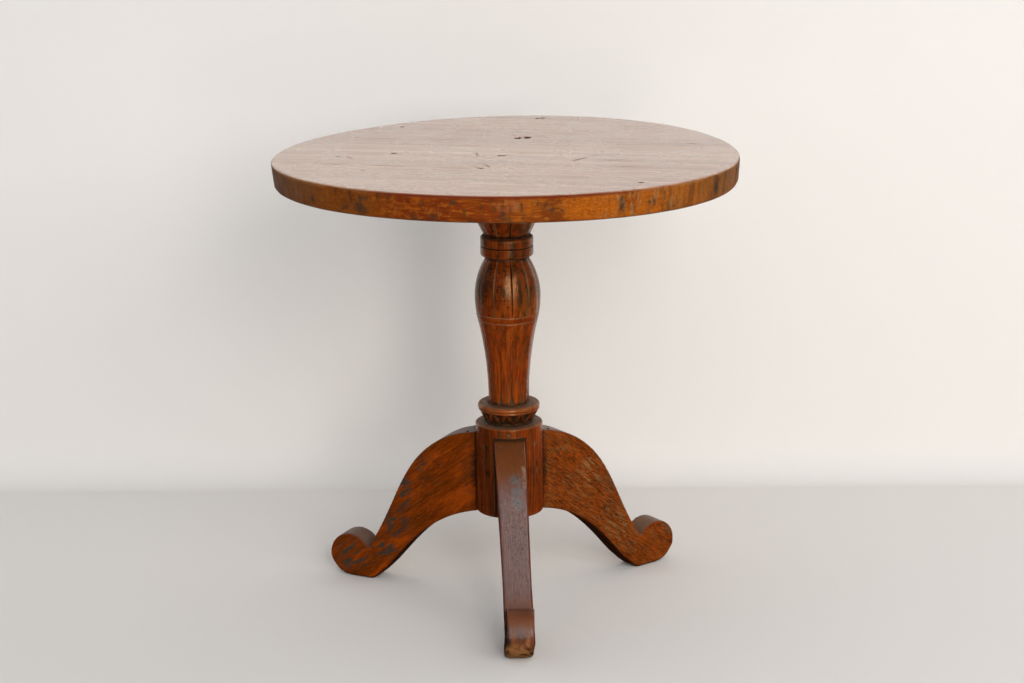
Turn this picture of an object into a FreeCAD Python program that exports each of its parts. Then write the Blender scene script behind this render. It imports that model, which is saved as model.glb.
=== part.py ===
# Wine table: a round top of three boards on a turned and fluted column,
# with a base block that three scroll-footed plank legs are housed into.
# Millimetres, +Z up, origin on the floor under the column's axis.
import FreeCAD
import Part
import os
import Sketcher
from FreeCAD import Vector

SIZES = {
    # Round top of three boards
    "top_radius": 305.0,
    "top_thickness": 34.0,
    "rim_draft": 2.5,
    "arris_round": 3.0,
    "lower_round": 6.0,
    "board_turn_deg": -11.5,
    "middle_board_width": 208.0,
    "seam_gap": 0.2,
    # Dowels across the two seams
    "dowel_radius": 5.0,
    "dowel_length": 60.0,
    "dowel_spacing": 150.0,
    "dowel_gap": 0.15,
    # Bearer under the boards
    "bearer_length": 430.0,
    "bearer_width": 130.0,
    "bearer_thickness": 22.0,
    "bearer_bevel_length": 34.0,
    "bearer_bevel_height": 11.0,
    # Slotted screws through the bearer
    "screw_length": 38.0,
    "screw_radius": 2.4,
    "screw_point": 7.0,
    "screw_head_radius": 5.0,
    "screw_head_height": 3.0,
    "screw_slot_width": 1.4,
    "screw_slot_depth": 1.3,
    "screw_gap": 0.1,
    "screw_end_margin": 50.0,
    "screw_side_margin": 20.0,
    "screw_inner_row": 76.0,
    # Column, from the neck down to the stem
    "neck_height": 53.0,
    "neck_top_radius": 54.0,
    "neck_low_radius": 30.0,
    "neck_lip": 7.0,
    "collar_height": 28.0,
    "collar_radius": 35.0,
    "collar_round": 4.0,
    "vase_length": 200.0,
    "vase_neck_radius": 28.4,
    "vase_neck_height": 2.0,
    "belly_radius": 43.9,
    "belly_level": 146.0,
    "belly_share": 0.225,
    "stem_radius": 27.2,
    "stem_foot": 7.0,
    # Tenons of the column and their wedges
    "head_tenon_radius": 18.0,
    "foot_tenon_radius": 15.0,
    "tenon_gap": 0.15,
    "tenon_end_gap": 0.5,
    "head_wedge_length": 16.0,
    "head_wedge_width": 28.0,
    "foot_wedge_length": 26.0,
    "foot_wedge_width": 23.0,
    "wedge_thick_end": 4.0,
    "wedge_thin_end": 1.2,
    "wedge_gap": 0.1,
    # Carving on the column
    "flute_count": 11,
    "flute_turn_deg": -80.6,
    "flute_width": 1.8,
    "flute_depth": 1.6,
    "cut_line_width": 1.4,
    "cut_line_depth": 0.9,
    "upper_line_level": 124.0,
    "lower_line_level": 115.5,
    "leaf_height": 18.0,
    "leaf_half_width": 5.5,
    "leaf_base": 4.0,
    "leaf_depth": 1.4,
    # Base block: carved ring above a drum
    "drum_lift": 127.0,
    "drum_height": 124.0,
    "drum_radius": 45.0,
    "drum_round": 2.0,
    "ring_height": 27.0,
    "ring_radius": 41.0,
    "ring_edge": 8.0,
    "ring_round": 2.5,
    "ring_neck_radius": 31.5,
    "ring_foot": 2.0,
    "pit_count": 12,
    "pit_turn_deg": -79.7,
    "pit_half_width": 7.6,
    "pit_height": 13.0,
    "pit_depth": 2.2,
    # Directions of the legs about the column, degrees from +X
    "front_leg_turn_deg": -87.0,
    "right_leg_turn_deg": 36.0,
    "left_leg_turn_deg": 156.0,
    # Housing of a leg in the drum
    "housing_depth": 5.0,
    "housing_headroom": 4.5,
    "joint_gap": 0.2,
    "tongue_length": 16.0,
    "tongue_neck_width": 16.0,
    "tongue_end_width": 24.0,
    "tongue_drop": 8.0,
    # Outline of a leg, with its reach counted from the column's axis
    "leg_root_thickness": 41.0,
    "leg_foot_thickness": 34.0,
    "leg_top_drop": 16.0,
    "leg_bottom_drop": 3.0,
    "scroll_reach": 241.0,
    "front_scroll_reach": 213.0,
    "scroll_radius": 31.0,
    "notch_angle_deg": 151.0,
    "notch_slope_deg": 48.0,
    "notch_pull": 22.0,
    "sole_length": 34.0,
    "heel_slope_deg": 25.0,
    "heel_pull": 16.0,
    "shin_setback": 71.0,
    "shin_height": 123.0,
    "shin_slope_deg": 64.5,
    "shin_upper_pull": 62.0,
    "shin_lower_pull": 35.0,
    "knee_slope_deg": 12.0,
    "knee_pull": 75.0,
    "calf_setback": 91.0,
    "calf_height": 58.5,
    "calf_slope_deg": 47.0,
    "calf_upper_pull": 40.0,
    "calf_lower_pull": 28.0,
    "under_slope_deg": 11.0,
    "under_pull": 50.0,
    # Nails from the top of a leg into the drum
    "nail_length": 58.0,
    "nail_radius": 1.4,
    "nail_point": 5.0,
    "nail_head_radius": 2.8,
    "nail_head_height": 1.2,
    "nail_gap": 0.05,
    "nail_sink": 0.8,
    "nail_setback": 16.0,
    "nail_side": 13.0,
    "nail_tilt_deg": 38.0,
    # How far a cutting outline runs past the wood that it cuts away
    "cut_clearance": 6.0,
}

# Levels above the floor, each one stacked on the one below it
DRUM_BOTTOM = "dims.drum_lift"
DRUM_TOP = "(dims.drum_lift + dims.drum_height)"
RING_TOP = f"({DRUM_TOP} + dims.ring_height)"
BELLY = f"({RING_TOP} + dims.belly_level)"
COLLAR_BOTTOM = f"({RING_TOP} + dims.vase_length)"
COLLAR_TOP = f"({COLLAR_BOTTOM} + dims.collar_height)"
NECK_TOP = f"({COLLAR_TOP} + dims.neck_height)"
BEARER_TOP = f"({NECK_TOP} + dims.bearer_thickness)"
TABLE_TOP = f"({BEARER_TOP} + dims.top_thickness)"

# Where a leg's shoulder seats in the drum, and the leg's height there
SEAT = "(dims.drum_radius - dims.housing_depth)"
LEG_TOP = f"({DRUM_TOP} - dims.leg_top_drop)"
LEG_BOTTOM = f"({DRUM_BOTTOM} - dims.leg_bottom_drop)"
TONGUE_TOP = f"({LEG_TOP} - dims.tongue_drop)"
LEG_TURNS = {
    "front": "dims.front_leg_turn_deg",
    "right": "dims.right_leg_turn_deg",
    "left": "dims.left_leg_turn_deg",
}

CLEAR = "dims.cut_clearance"

doc = FreeCAD.newDocument("wine_table")
dims = doc.addObject("Spreadsheet::Sheet", "dims")
for row, (alias, size) in enumerate(SIZES.items(), start=1):
    dims.set(f"A{row}", alias)
    dims.set(f"B{row}", str(size))
    dims.setAlias(f"B{row}", alias)
doc.recompute()


def value(expression):
    """Number that an expression on the sheet gives now."""
    return float(dims.evalExpression(str(expression)))


def point(place):
    """Sketch point for a pair of expressions."""
    across, along = place
    return Vector(value(across), value(along), 0)


def bind_point(sketch, geometry, end, place):
    """Tie one point of a sketch to a pair of expressions."""
    for kind, expression in zip(("DistanceX", "DistanceY"), place):
        rule = Sketcher.Constraint(kind, -1, 1, geometry, end, value(expression))
        index = sketch.addConstraint(rule)
        sketch.setExpression(f"Constraints[{index}]", str(expression))


def add_line(sketch, start, step):
    """Straight step; returns its geometry and the numbers of its two ends."""
    edge = Part.LineSegment(point(start), point(step["to"]))
    return sketch.addGeometry(edge, False), 1, 2


def add_arc(sketch, start, step):
    """Step round an arc of the given radius, turning left or right, through less than half a circle."""
    first = point(start)
    last = point(step["to"])
    radius = value(step["radius"])
    chord = last - first
    side = Vector(-chord.y, chord.x, 0).normalize()
    rise = (radius**2 - (chord.Length / 2) ** 2) ** 0.5
    turns_left = step["turn"] == "left"
    centre = first + chord * 0.5 + side * (rise if turns_left else -rise)
    ends = (first, last) if turns_left else (last, first)
    angles = [(end - centre).getAngle(Vector(1, 0, 0)) for end in ends]
    angles = [-a if (end - centre).y < 0 else a for a, end in zip(angles, ends)]
    circle = Part.Circle(centre, Vector(0, 0, 1), radius)
    index = sketch.addGeometry(Part.ArcOfCircle(circle, angles[0], angles[1]), False)
    rule = sketch.addConstraint(Sketcher.Constraint("Radius", index, radius))
    sketch.setExpression(f"Constraints[{rule}]", str(step["radius"]))
    return (index, 1, 2) if turns_left else (index, 2, 1)


def add_curve(sketch, start, step):
    """Step along a cubic curve drawn by two handles."""
    places = [start, step["leave"], step["arrive"], step["to"]]
    curve = Part.BSplineCurve()
    curve.buildFromPolesMultsKnots([point(p) for p in places], [4, 4], [0, 1], False, 3)
    index = sketch.addGeometry(curve, False)
    first_pole = sketch.GeometryCount
    sketch.exposeInternalGeometry(index)
    bind_point(sketch, first_pole + 1, 3, step["leave"])
    bind_point(sketch, first_pole + 2, 3, step["arrive"])
    return index, 1, 2


def step_of(place):
    """A step given as a bare point is a straight one."""
    return place if isinstance(place, dict) else {"to": place}


def add_outline(sketch, start, steps):
    """Closed outline in a sketch, every corner, radius and handle tied to the sheet."""
    steps = [step_of(s) for s in steps]
    steps.append({"to": start})
    here = start
    edges = []
    for step in steps:
        if "leave" in step:
            edges.append(add_curve(sketch, here, step))
        elif "radius" in step:
            edges.append(add_arc(sketch, here, step))
        else:
            edges.append(add_line(sketch, here, step))
        here = step["to"]
    corners = [start] + [s["to"] for s in steps[:-1]]
    for number, (edge, corner) in enumerate(zip(edges, corners)):
        before = edges[number - 1]
        sketch.addConstraint(Sketcher.Constraint("Coincident", before[0], before[2], edge[0], edge[1]))
        bind_point(sketch, edge[0], edge[1], corner)


def new_sketch(body, name, plane, offset=None):
    """Empty sketch on one of a body's own planes, moved by a placement expression."""
    sketch = body.newObject("Sketcher::SketchObject", name)
    role = [f for f in body.Origin.OriginFeatures if f.Role == plane][0]
    sketch.AttachmentSupport = [(role, "")]
    sketch.MapMode = "FlatFace"
    if offset:
        sketch.setExpression("AttachmentOffset", offset)
    return sketch


def new_body(label):
    """Body whose label names the piece."""
    body = doc.addObject("PartDesign::Body", label)
    body.Label = label
    return body


def turned(body, name, start, steps):
    """Wood turned about the Z axis from half an outline, radius across and height up."""
    sketch = new_sketch(body, name + "_outline", "XZ_Plane")
    add_outline(sketch, start, steps)
    feature = body.newObject("PartDesign::Revolution", name)
    feature.Profile = sketch
    feature.ReferenceAxis = (sketch, ["V_Axis"])
    feature.Angle = 360
    doc.recompute()
    return feature


def grooved(body, name, start, steps):
    """Ring cut out of a turned body, from half its outline."""
    sketch = new_sketch(body, name + "_outline", "XZ_Plane")
    add_outline(sketch, start, steps)
    feature = body.newObject("PartDesign::Groove", name)
    feature.Profile = sketch
    feature.ReferenceAxis = (sketch, ["V_Axis"])
    feature.Angle = 360
    doc.recompute()
    return feature


def padded(body, name, plane, start, steps, length, midplane=False, offset=None):
    """Wood added along a sketch's normal, or to both sides of its plane."""
    sketch = new_sketch(body, name + "_outline", plane, offset)
    add_outline(sketch, start, steps)
    feature = body.newObject("PartDesign::Pad", name)
    feature.Profile = sketch
    feature.Midplane = midplane
    feature.setExpression("Length", length)
    doc.recompute()
    return feature


def pocketed(body, name, plane, outlines, length, midplane=False, offset=None, forward=False):
    """Wood cut away against a sketch's normal, along it, or to both sides of its plane."""
    sketch = new_sketch(body, name + "_outline", plane, offset)
    for start, steps in outlines:
        add_outline(sketch, start, steps)
    before = body.Shape.Volume
    feature = body.newObject("PartDesign::Pocket", name)
    feature.Profile = sketch
    feature.Midplane = midplane
    feature.Reversed = forward
    feature.setExpression("Length", length)
    doc.recompute()
    if not body.Shape.Volume < before:
        raise RuntimeError(f"{name} cuts nothing from {body.Label}")
    return feature


def repeated(body, name, feature, count):
    """Feature repeated evenly about the Z axis."""
    axis = [f for f in body.Origin.OriginFeatures if f.Role == "Z_Axis"][0]
    pattern = body.newObject("PartDesign::PolarPattern", name)
    pattern.Originals = [feature]
    pattern.Axis = (axis, [""])
    pattern.Angle = 360
    pattern.setExpression("Occurrences", count)
    body.Tip = pattern
    doc.recompute()
    return pattern


def placed(across, along, up, turn="rotationz(0)"):
    """Expression for a placement."""
    return f"placement(vector({across}; {along}; {up}); {turn})"


def about_axis(turn):
    """Expression for a turn about the Z axis at the origin."""
    return placed(0, 0, 0, f"rotationz({turn})")


def copies(label, piece, places):
    """Group of separate copies of one piece at the given placements."""
    links = []
    for number, place in enumerate(places):
        link = doc.addObject("App::Link", f"{label}_{number}")
        link.LinkedObject = piece
        link.setExpression("Placement", place)
        links.append(link)
    group = doc.addObject("Part::Compound", label)
    group.Label = label
    group.Links = links
    return group


def combined(kind, label, base, tool):
    """Cut or common of two shapes."""
    feature = doc.addObject(kind, label)
    feature.Label = label
    feature.Base = base
    feature.Tool = tool
    return feature


def box(name, length, width, height, place):
    """Block with its sizes and place tied to the sheet."""
    block = doc.addObject("Part::Box", name)
    block.setExpression("Length", length)
    block.setExpression("Width", width)
    block.setExpression("Height", height)
    block.setExpression("Placement", place)
    return block


def cylinder(name, radius, height, place):
    """Round bar with its sizes and place tied to the sheet."""
    bar = doc.addObject("Part::Cylinder", name)
    bar.setExpression("Radius", radius)
    bar.setExpression("Height", height)
    bar.setExpression("Placement", place)
    return bar


# Screws: countersunk heads down, in the bearer's underside, points up in the boards
def make_screw(name, gap, mouth):
    """Screw, or with a gap its hole, whose mouth opens past the head's face at the origin."""
    head = f"(dims.screw_head_radius + {gap})"
    shank = f"(dims.screw_radius + {gap})"
    end = f"(dims.screw_length + {gap})"
    body = new_body(name)
    turned(body, name + "_turning", ("0", "0"), mouth + [
        (head, "0"),
        (shank, "dims.screw_head_height"),
        (shank, f"{end} - dims.screw_point"),
        ("0", end),
    ])
    return body


def screw_places():
    """Two rows on the middle board and one on each outer board, two screws to a row."""
    outer_row = "(dims.bearer_length / 2 - dims.screw_end_margin)"
    side = "(dims.bearer_width / 2 - dims.screw_side_margin)"
    rows = [f"-{outer_row}", "-dims.screw_inner_row", "dims.screw_inner_row", outer_row]
    return [placed(x, y, NECK_TOP) for y in rows for x in (f"-{side}", side)]


screw = make_screw("screw", "0", [])
pocketed(screw, "screw_slot", "XZ_Plane", [(
    ("-dims.screw_slot_width / 2", f"-{CLEAR}"),
    [
        ("dims.screw_slot_width / 2", f"-{CLEAR}"),
        ("dims.screw_slot_width / 2", "dims.screw_slot_depth"),
        ("-dims.screw_slot_width / 2", "dims.screw_slot_depth"),
    ],
)], "4 * dims.screw_head_radius", midplane=True)
BORE_HEAD = "(dims.screw_head_radius + dims.screw_gap)"
screw_bore = make_screw("screw_bore", "dims.screw_gap", [("0", f"-{CLEAR}"), (BORE_HEAD, f"-{CLEAR}")])
bearer_screws = copies("bearer_screws", screw, screw_places())
screw_bores = copies("screw_bores", screw_bore, screw_places())

# Dowels: three across each seam, half of each in either board
SEAM = "(dims.middle_board_width / 2)"
BOARD_MIDDLE = f"({BEARER_TOP} + dims.top_thickness / 2)"
dowel = cylinder("dowel", "dims.dowel_radius", "dims.dowel_length", about_axis("0"))
dowel_bore = cylinder(
    "dowel_bore",
    "dims.dowel_radius + dims.dowel_gap",
    "dims.dowel_length + 2 * dims.dowel_gap",
    about_axis("0"),
)


def dowel_places(gap):
    """Dowels lie along Y, their middles on the seams."""
    near_ends = [f"{side} * {SEAM} + dims.dowel_length / 2 + {gap}" for side in (-1, 1)]
    steps = [f"{step} * dims.dowel_spacing" for step in (-1, 0, 1)]
    return [placed(x, y, BOARD_MIDDLE, "rotationx(90)") for y in near_ends for x in steps]


board_dowels = copies("board_dowels", dowel, dowel_places("0"))
dowel_bores = copies("dowel_bores", dowel_bore, dowel_places("dims.dowel_gap"))
board_bores = doc.addObject("Part::Compound", "board_bores")
board_bores.Links = [dowel_bores, screw_bores]

# Round top, turned as one disc and then divided into its boards
disc = new_body("disc")
UNDER_RADIUS = "(dims.top_radius - dims.rim_draft)"
turned(disc, "disc_turning", ("0", BEARER_TOP), [
    (f"{UNDER_RADIUS} - dims.lower_round", BEARER_TOP),
    {
        "to": (UNDER_RADIUS, f"{BEARER_TOP} + dims.lower_round"),
        "radius": "dims.lower_round",
        "turn": "left",
    },
    ("dims.top_radius", f"{TABLE_TOP} - dims.arris_round"),
    {
        "to": ("dims.top_radius - dims.arris_round", TABLE_TOP),
        "radius": "dims.arris_round",
        "turn": "left",
    },
    ("0", TABLE_TOP),
])


def make_board(label, low_edge, high_edge):
    """One board of the top, between two lines along the grain."""
    across = f"-dims.top_radius - {CLEAR}"
    strip = box(
        label + "_strip",
        f"2 * (dims.top_radius + {CLEAR})",
        f"({high_edge}) - ({low_edge})",
        f"dims.top_thickness + {CLEAR}",
        placed(across, low_edge, f"{BEARER_TOP} - {CLEAR} / 2"),
    )
    sawn = combined("Part::Common", label + "_sawn", disc, strip)
    board = combined("Part::Cut", label, sawn, board_bores)
    return board


PAST_RIM = f"(dims.top_radius + {CLEAR})"
HALF_SEAM = "dims.seam_gap / 2"
boards = [
    make_board("top_board_front", f"-{PAST_RIM}", f"-{SEAM} - {HALF_SEAM}"),
    make_board("top_board_middle", f"-{SEAM} + {HALF_SEAM}", f"{SEAM} - {HALF_SEAM}"),
    make_board("top_board_back", f"{SEAM} + {HALF_SEAM}", PAST_RIM),
]

# Bearer across the boards, bevelled at its ends, bored for the column's upper tenon
bearer_plank = new_body("bearer_plank")
END = "dims.bearer_length / 2"
BEVEL = f"{END} - dims.bearer_bevel_length"
BEVEL_TOP = f"{NECK_TOP} + dims.bearer_bevel_height"
padded(bearer_plank, "bearer_side", "YZ_Plane", (f"-({BEVEL})", NECK_TOP), [
    (BEVEL, NECK_TOP),
    (END, BEVEL_TOP),
    (END, BEARER_TOP),
    (f"-{END}", BEARER_TOP),
    (f"-{END}", BEVEL_TOP),
], "dims.bearer_width", midplane=True)
head_mortise = cylinder(
    "head_mortise",
    "dims.head_tenon_radius + dims.tenon_gap",
    f"dims.bearer_thickness + {CLEAR}",
    placed(0, 0, f"{NECK_TOP} - {CLEAR} / 2"),
)
bearer_bores = doc.addObject("Part::Compound", "bearer_bores")
bearer_bores.Links = [head_mortise, screw_bores]
bearer = combined("Part::Cut", "bearer", bearer_plank, bearer_bores)

# The top and all that is fixed to its underside follow the grain's direction
for piece in boards + [board_dowels, bearer, bearer_screws]:
    piece.setExpression("Placement", about_axis("dims.board_turn_deg"))

# Column: the vase's outline is one arc above its belly and two tangent arcs below it
column = new_body("column")
VASE_TOP = f"({COLLAR_BOTTOM} - dims.vase_neck_height)"
STEM_LEVEL = f"({RING_TOP} + dims.stem_foot)"
ABOVE = f"({VASE_TOP} - {BELLY})"
BELOW = f"({BELLY} - {STEM_LEVEL})"
SHOULDER_IN = "(dims.belly_radius - dims.vase_neck_radius)"
STEM_IN = "(dims.belly_radius - dims.stem_radius)"
SHOULDER_CURVE = f"(({ABOVE}^2 + {SHOULDER_IN}^2) / (2 * {SHOULDER_IN}))"
BOTH_CURVES = f"(({BELOW}^2 + {STEM_IN}^2) / (2 * {STEM_IN}))"
BELLY_CURVE = f"(dims.belly_share * {BOTH_CURVES})"
STEM_CURVE = f"((1 - dims.belly_share) * {BOTH_CURVES})"
CURVES_MEET = (
    f"dims.belly_radius - dims.belly_share * {STEM_IN}",
    f"{BELLY} - dims.belly_share * {BELOW}",
)
COLLAR_IN = "dims.collar_radius - dims.collar_round"
HEAD_TENON_TOP = f"({BEARER_TOP} - dims.tenon_end_gap)"
turned(column, "column_turning", ("0", DRUM_BOTTOM), [
    ("dims.foot_tenon_radius", DRUM_BOTTOM),
    ("dims.foot_tenon_radius", RING_TOP),
    ("dims.stem_radius", RING_TOP),
    ("dims.stem_radius", STEM_LEVEL),
    {"to": CURVES_MEET, "radius": STEM_CURVE, "turn": "right"},
    {"to": ("dims.belly_radius", BELLY), "radius": BELLY_CURVE, "turn": "left"},
    {"to": ("dims.vase_neck_radius", VASE_TOP), "radius": SHOULDER_CURVE, "turn": "left"},
    ("dims.vase_neck_radius", COLLAR_BOTTOM),
    (COLLAR_IN, COLLAR_BOTTOM),
    {
        "to": ("dims.collar_radius", f"{COLLAR_BOTTOM} + dims.collar_round"),
        "radius": "dims.collar_round",
        "turn": "left",
    },
    ("dims.collar_radius", f"{COLLAR_TOP} - dims.collar_round"),
    {"to": (COLLAR_IN, COLLAR_TOP), "radius": "dims.collar_round", "turn": "left"},
    ("dims.neck_low_radius", COLLAR_TOP),
    ("dims.neck_top_radius", f"{NECK_TOP} - dims.neck_lip"),
    ("dims.neck_top_radius", NECK_TOP),
    ("dims.head_tenon_radius", NECK_TOP),
    ("dims.head_tenon_radius", HEAD_TENON_TOP),
    ("0", HEAD_TENON_TOP),
])


def belly_outline(level):
    """Radius of the vase just below its belly, at a level above the floor."""
    return f"dims.belly_radius - {BELLY_CURVE} + sqrt({BELLY_CURVE}^2 - ({BELLY} - {level})^2)"


def cut_line(name, radius, level):
    """Fine ring cut round the column with a pointed tool."""
    grooved(column, name, (f"{radius} - dims.cut_line_depth", level), [
        (f"{radius} + dims.cut_line_depth", f"{level} - dims.cut_line_width"),
        (f"{radius} + dims.cut_line_depth", f"{level} + dims.cut_line_width"),
    ])


UPPER_LINE = f"({RING_TOP} + dims.upper_line_level)"
LOWER_LINE = f"({RING_TOP} + dims.lower_line_level)"
cut_line("upper_line", belly_outline(UPPER_LINE), UPPER_LINE)
cut_line("lower_line", belly_outline(LOWER_LINE), LOWER_LINE)
cut_line("collar_line", "dims.collar_radius", f"({COLLAR_BOTTOM} + dims.collar_height / 2)")

# Flutes run from the collar over the belly to the upper cut line, and up the neck
FLUTES_OUT = f"dims.belly_radius + {CLEAR}"
FLUTE_TURN = about_axis("dims.flute_turn_deg")
vase_flute = pocketed(column, "vase_flute", "XZ_Plane", [(
    ("dims.vase_neck_radius - dims.flute_depth", VASE_TOP),
    [
        {
            "to": ("dims.belly_radius - dims.flute_depth", BELLY),
            "radius": SHOULDER_CURVE,
            "turn": "right",
        },
        {
            "to": (f"{belly_outline(UPPER_LINE)} - dims.flute_depth", UPPER_LINE),
            "radius": BELLY_CURVE,
            "turn": "right",
        },
        (FLUTES_OUT, UPPER_LINE),
        (FLUTES_OUT, VASE_TOP),
    ],
)], "dims.flute_width", midplane=True)
repeated(column, "vase_flutes", vase_flute, "dims.flute_count")
neck_flute = pocketed(column, "neck_flute", "XZ_Plane", [(
    ("dims.neck_low_radius - dims.flute_depth", COLLAR_TOP),
    [
        (f"dims.neck_top_radius + {CLEAR}", COLLAR_TOP),
        (f"dims.neck_top_radius + {CLEAR}", f"{NECK_TOP} - dims.neck_lip"),
        ("dims.neck_top_radius - dims.flute_depth", f"{NECK_TOP} - dims.neck_lip"),
    ],
)], "dims.flute_width", midplane=True)
repeated(column, "neck_flutes", neck_flute, "dims.flute_count")

# Leaf tips cut into the foot of the stem
LEAF_BASE = f"({RING_TOP} + dims.leaf_base)"
leaf_cut = pocketed(column, "leaf_cut", "YZ_Plane", [(
    ("-dims.leaf_half_width", LEAF_BASE),
    [
        ("dims.leaf_half_width", LEAF_BASE),
        ("0", f"{LEAF_BASE} + dims.leaf_height"),
    ],
)], f"dims.leaf_depth + {CLEAR}", offset=placed(0, 0, f"dims.stem_radius + {CLEAR}"))
repeated(column, "leaf_cuts", leaf_cut, "dims.flute_count")


# Wedges driven into saw kerfs across the two tenons
def wedge_outline(thick_level, thin_level, gap):
    """Side of a wedge, thick end first, widened by a gap for its kerf."""
    thick = f"(dims.wedge_thick_end / 2 + {gap})"
    thin = f"(dims.wedge_thin_end / 2 + {gap})"
    return (f"-{thick}", thick_level), [
        (thick, thick_level),
        (thin, thin_level),
        (f"-{thin}", thin_level),
    ]


def make_wedge(label, thick_level, thin_level, width):
    """Wedge, a little short of its kerf's bottom."""
    body = new_body(label)
    start, steps = wedge_outline(thick_level, thin_level, "0")
    padded(body, label + "_side", "XZ_Plane", start, steps, width, midplane=True)
    return body


HEAD_KERF_END = f"{HEAD_TENON_TOP} - dims.head_wedge_length"
FOOT_KERF_END = f"{DRUM_BOTTOM} + dims.foot_wedge_length"
pocketed(
    column, "head_kerf", "XZ_Plane",
    [wedge_outline(HEAD_TENON_TOP, HEAD_KERF_END, "dims.wedge_gap")],
    "4 * dims.head_tenon_radius", midplane=True,
)
pocketed(
    column, "foot_kerf", "XZ_Plane",
    [wedge_outline(DRUM_BOTTOM, FOOT_KERF_END, "dims.wedge_gap")],
    "4 * dims.foot_tenon_radius", midplane=True,
)
column.setExpression("Placement", FLUTE_TURN)
head_wedge = make_wedge("head_wedge", HEAD_TENON_TOP, HEAD_KERF_END, "dims.head_wedge_width")
foot_wedge = make_wedge("foot_wedge", DRUM_BOTTOM, FOOT_KERF_END, "dims.foot_wedge_width")
for wedge in (head_wedge, foot_wedge):
    wedge.setExpression("Placement", FLUTE_TURN)

# Base block: ring and drum in one turning, bored through for the column's lower tenon
block = new_body("block")
BORE = "dims.foot_tenon_radius + dims.tenon_gap"
RING_LOW = f"({RING_TOP} - dims.ring_edge)"
CONE_LOW = f"({DRUM_TOP} + dims.ring_foot)"
turned(block, "block_turning", (BORE, DRUM_BOTTOM), [
    ("dims.drum_radius - dims.drum_round", DRUM_BOTTOM),
    {
        "to": ("dims.drum_radius", f"{DRUM_BOTTOM} + dims.drum_round"),
        "radius": "dims.drum_round",
        "turn": "left",
    },
    ("dims.drum_radius", f"{DRUM_TOP} - dims.drum_round"),
    {
        "to": ("dims.drum_radius - dims.drum_round", DRUM_TOP),
        "radius": "dims.drum_round",
        "turn": "left",
    },
    ("dims.ring_neck_radius", DRUM_TOP),
    ("dims.ring_neck_radius", CONE_LOW),
    ("dims.ring_radius", RING_LOW),
    ("dims.ring_radius", f"{RING_TOP} - dims.ring_round"),
    {
        "to": ("dims.ring_radius - dims.ring_round", RING_TOP),
        "radius": "dims.ring_round",
        "turn": "left",
    },
    (BORE, RING_TOP),
])

# Two rows of three-cornered pits round the ring's cone leave a zigzag ridge between them
CONE_OUT = "(dims.ring_radius - dims.ring_neck_radius)"
CONE_RISE = f"({RING_LOW} - {CONE_LOW})"
CONE_LEAN = f"atan({CONE_OUT} / {CONE_RISE})"
CONE_MIDDLE_RADIUS = "(dims.ring_radius + dims.ring_neck_radius) / 2"
CONE_MIDDLE = f"({RING_LOW} + {CONE_LOW}) / 2"
ON_CONE = placed(0, CONE_MIDDLE, CONE_MIDDLE_RADIUS, f"rotationx({CONE_LEAN})")


def cut_pits(name, turn, point_side):
    """Row of pits with their points down or up, its sketch laid flat on the cone."""
    around = placed(0, 0, 0, f"rotationy({turn})")
    base = f"{point_side} * dims.pit_height / 2"
    pit = pocketed(block, name + "_pit", "YZ_Plane", [(
        ("-dims.pit_half_width", f"-({base})"),
        [("0", base), ("dims.pit_half_width", f"-({base})")],
    )], "dims.pit_depth", offset=f"{around} * {ON_CONE}")
    repeated(block, name + "_pits", pit, "dims.pit_count")


cut_pits("upper", "dims.pit_turn_deg", -1)
cut_pits("lower", "dims.pit_turn_deg + 180 / dims.pit_count", 1)


def cut_housing(name, turn):
    """Flat seat for a leg's shoulder, and the dovetail slot behind it, both open below."""
    half_leg = "(dims.leg_root_thickness / 2 + dims.joint_gap)"
    past_drum = f"dims.drum_radius + {CLEAR}"
    below = placed(0, 0, DRUM_BOTTOM, f"rotationz({turn})")
    pocketed(
        block, name + "_seat", "XY_Plane",
        [(
            (SEAT, f"-{half_leg}"),
            [(past_drum, f"-{half_leg}"), (past_drum, half_leg), (SEAT, half_leg)],
        )],
        f"{LEG_TOP} + dims.housing_headroom - {DRUM_BOTTOM}", offset=below, forward=True,
    )
    pocketed(
        block, name + "_slot", "XY_Plane", [tongue_outline("dims.joint_gap")],
        f"{TONGUE_TOP} + dims.joint_gap - {DRUM_BOTTOM}", offset=below, forward=True,
    )


def tongue_outline(gap):
    """Plan of the dovetail tongue that joins a leg to the drum, widened by a gap for its slot."""
    inner = f"{SEAT} - dims.tongue_length - {gap}"
    outer = f"{SEAT} + dims.housing_depth / 2"
    neck = f"(dims.tongue_neck_width / 2 + {gap})"
    end = f"(dims.tongue_end_width / 2 + {gap})"
    return (inner, f"-{end}"), [
        (SEAT, f"-{neck}"),
        (outer, f"-{neck}"),
        (outer, neck),
        (SEAT, neck),
        (inner, end),
    ]


for side, turn in LEG_TURNS.items():
    cut_housing(side + "_housing", turn)


# Legs: sawn from plank to an ogee outline, tapered towards the foot
def handle(place, slope, pull):
    """Curve handle: a point's own place moved down along a slope by a pull."""
    reach, height = place
    return f"{reach} + {pull} * cos({slope})", f"{height} - {pull} * sin({slope})"


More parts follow.
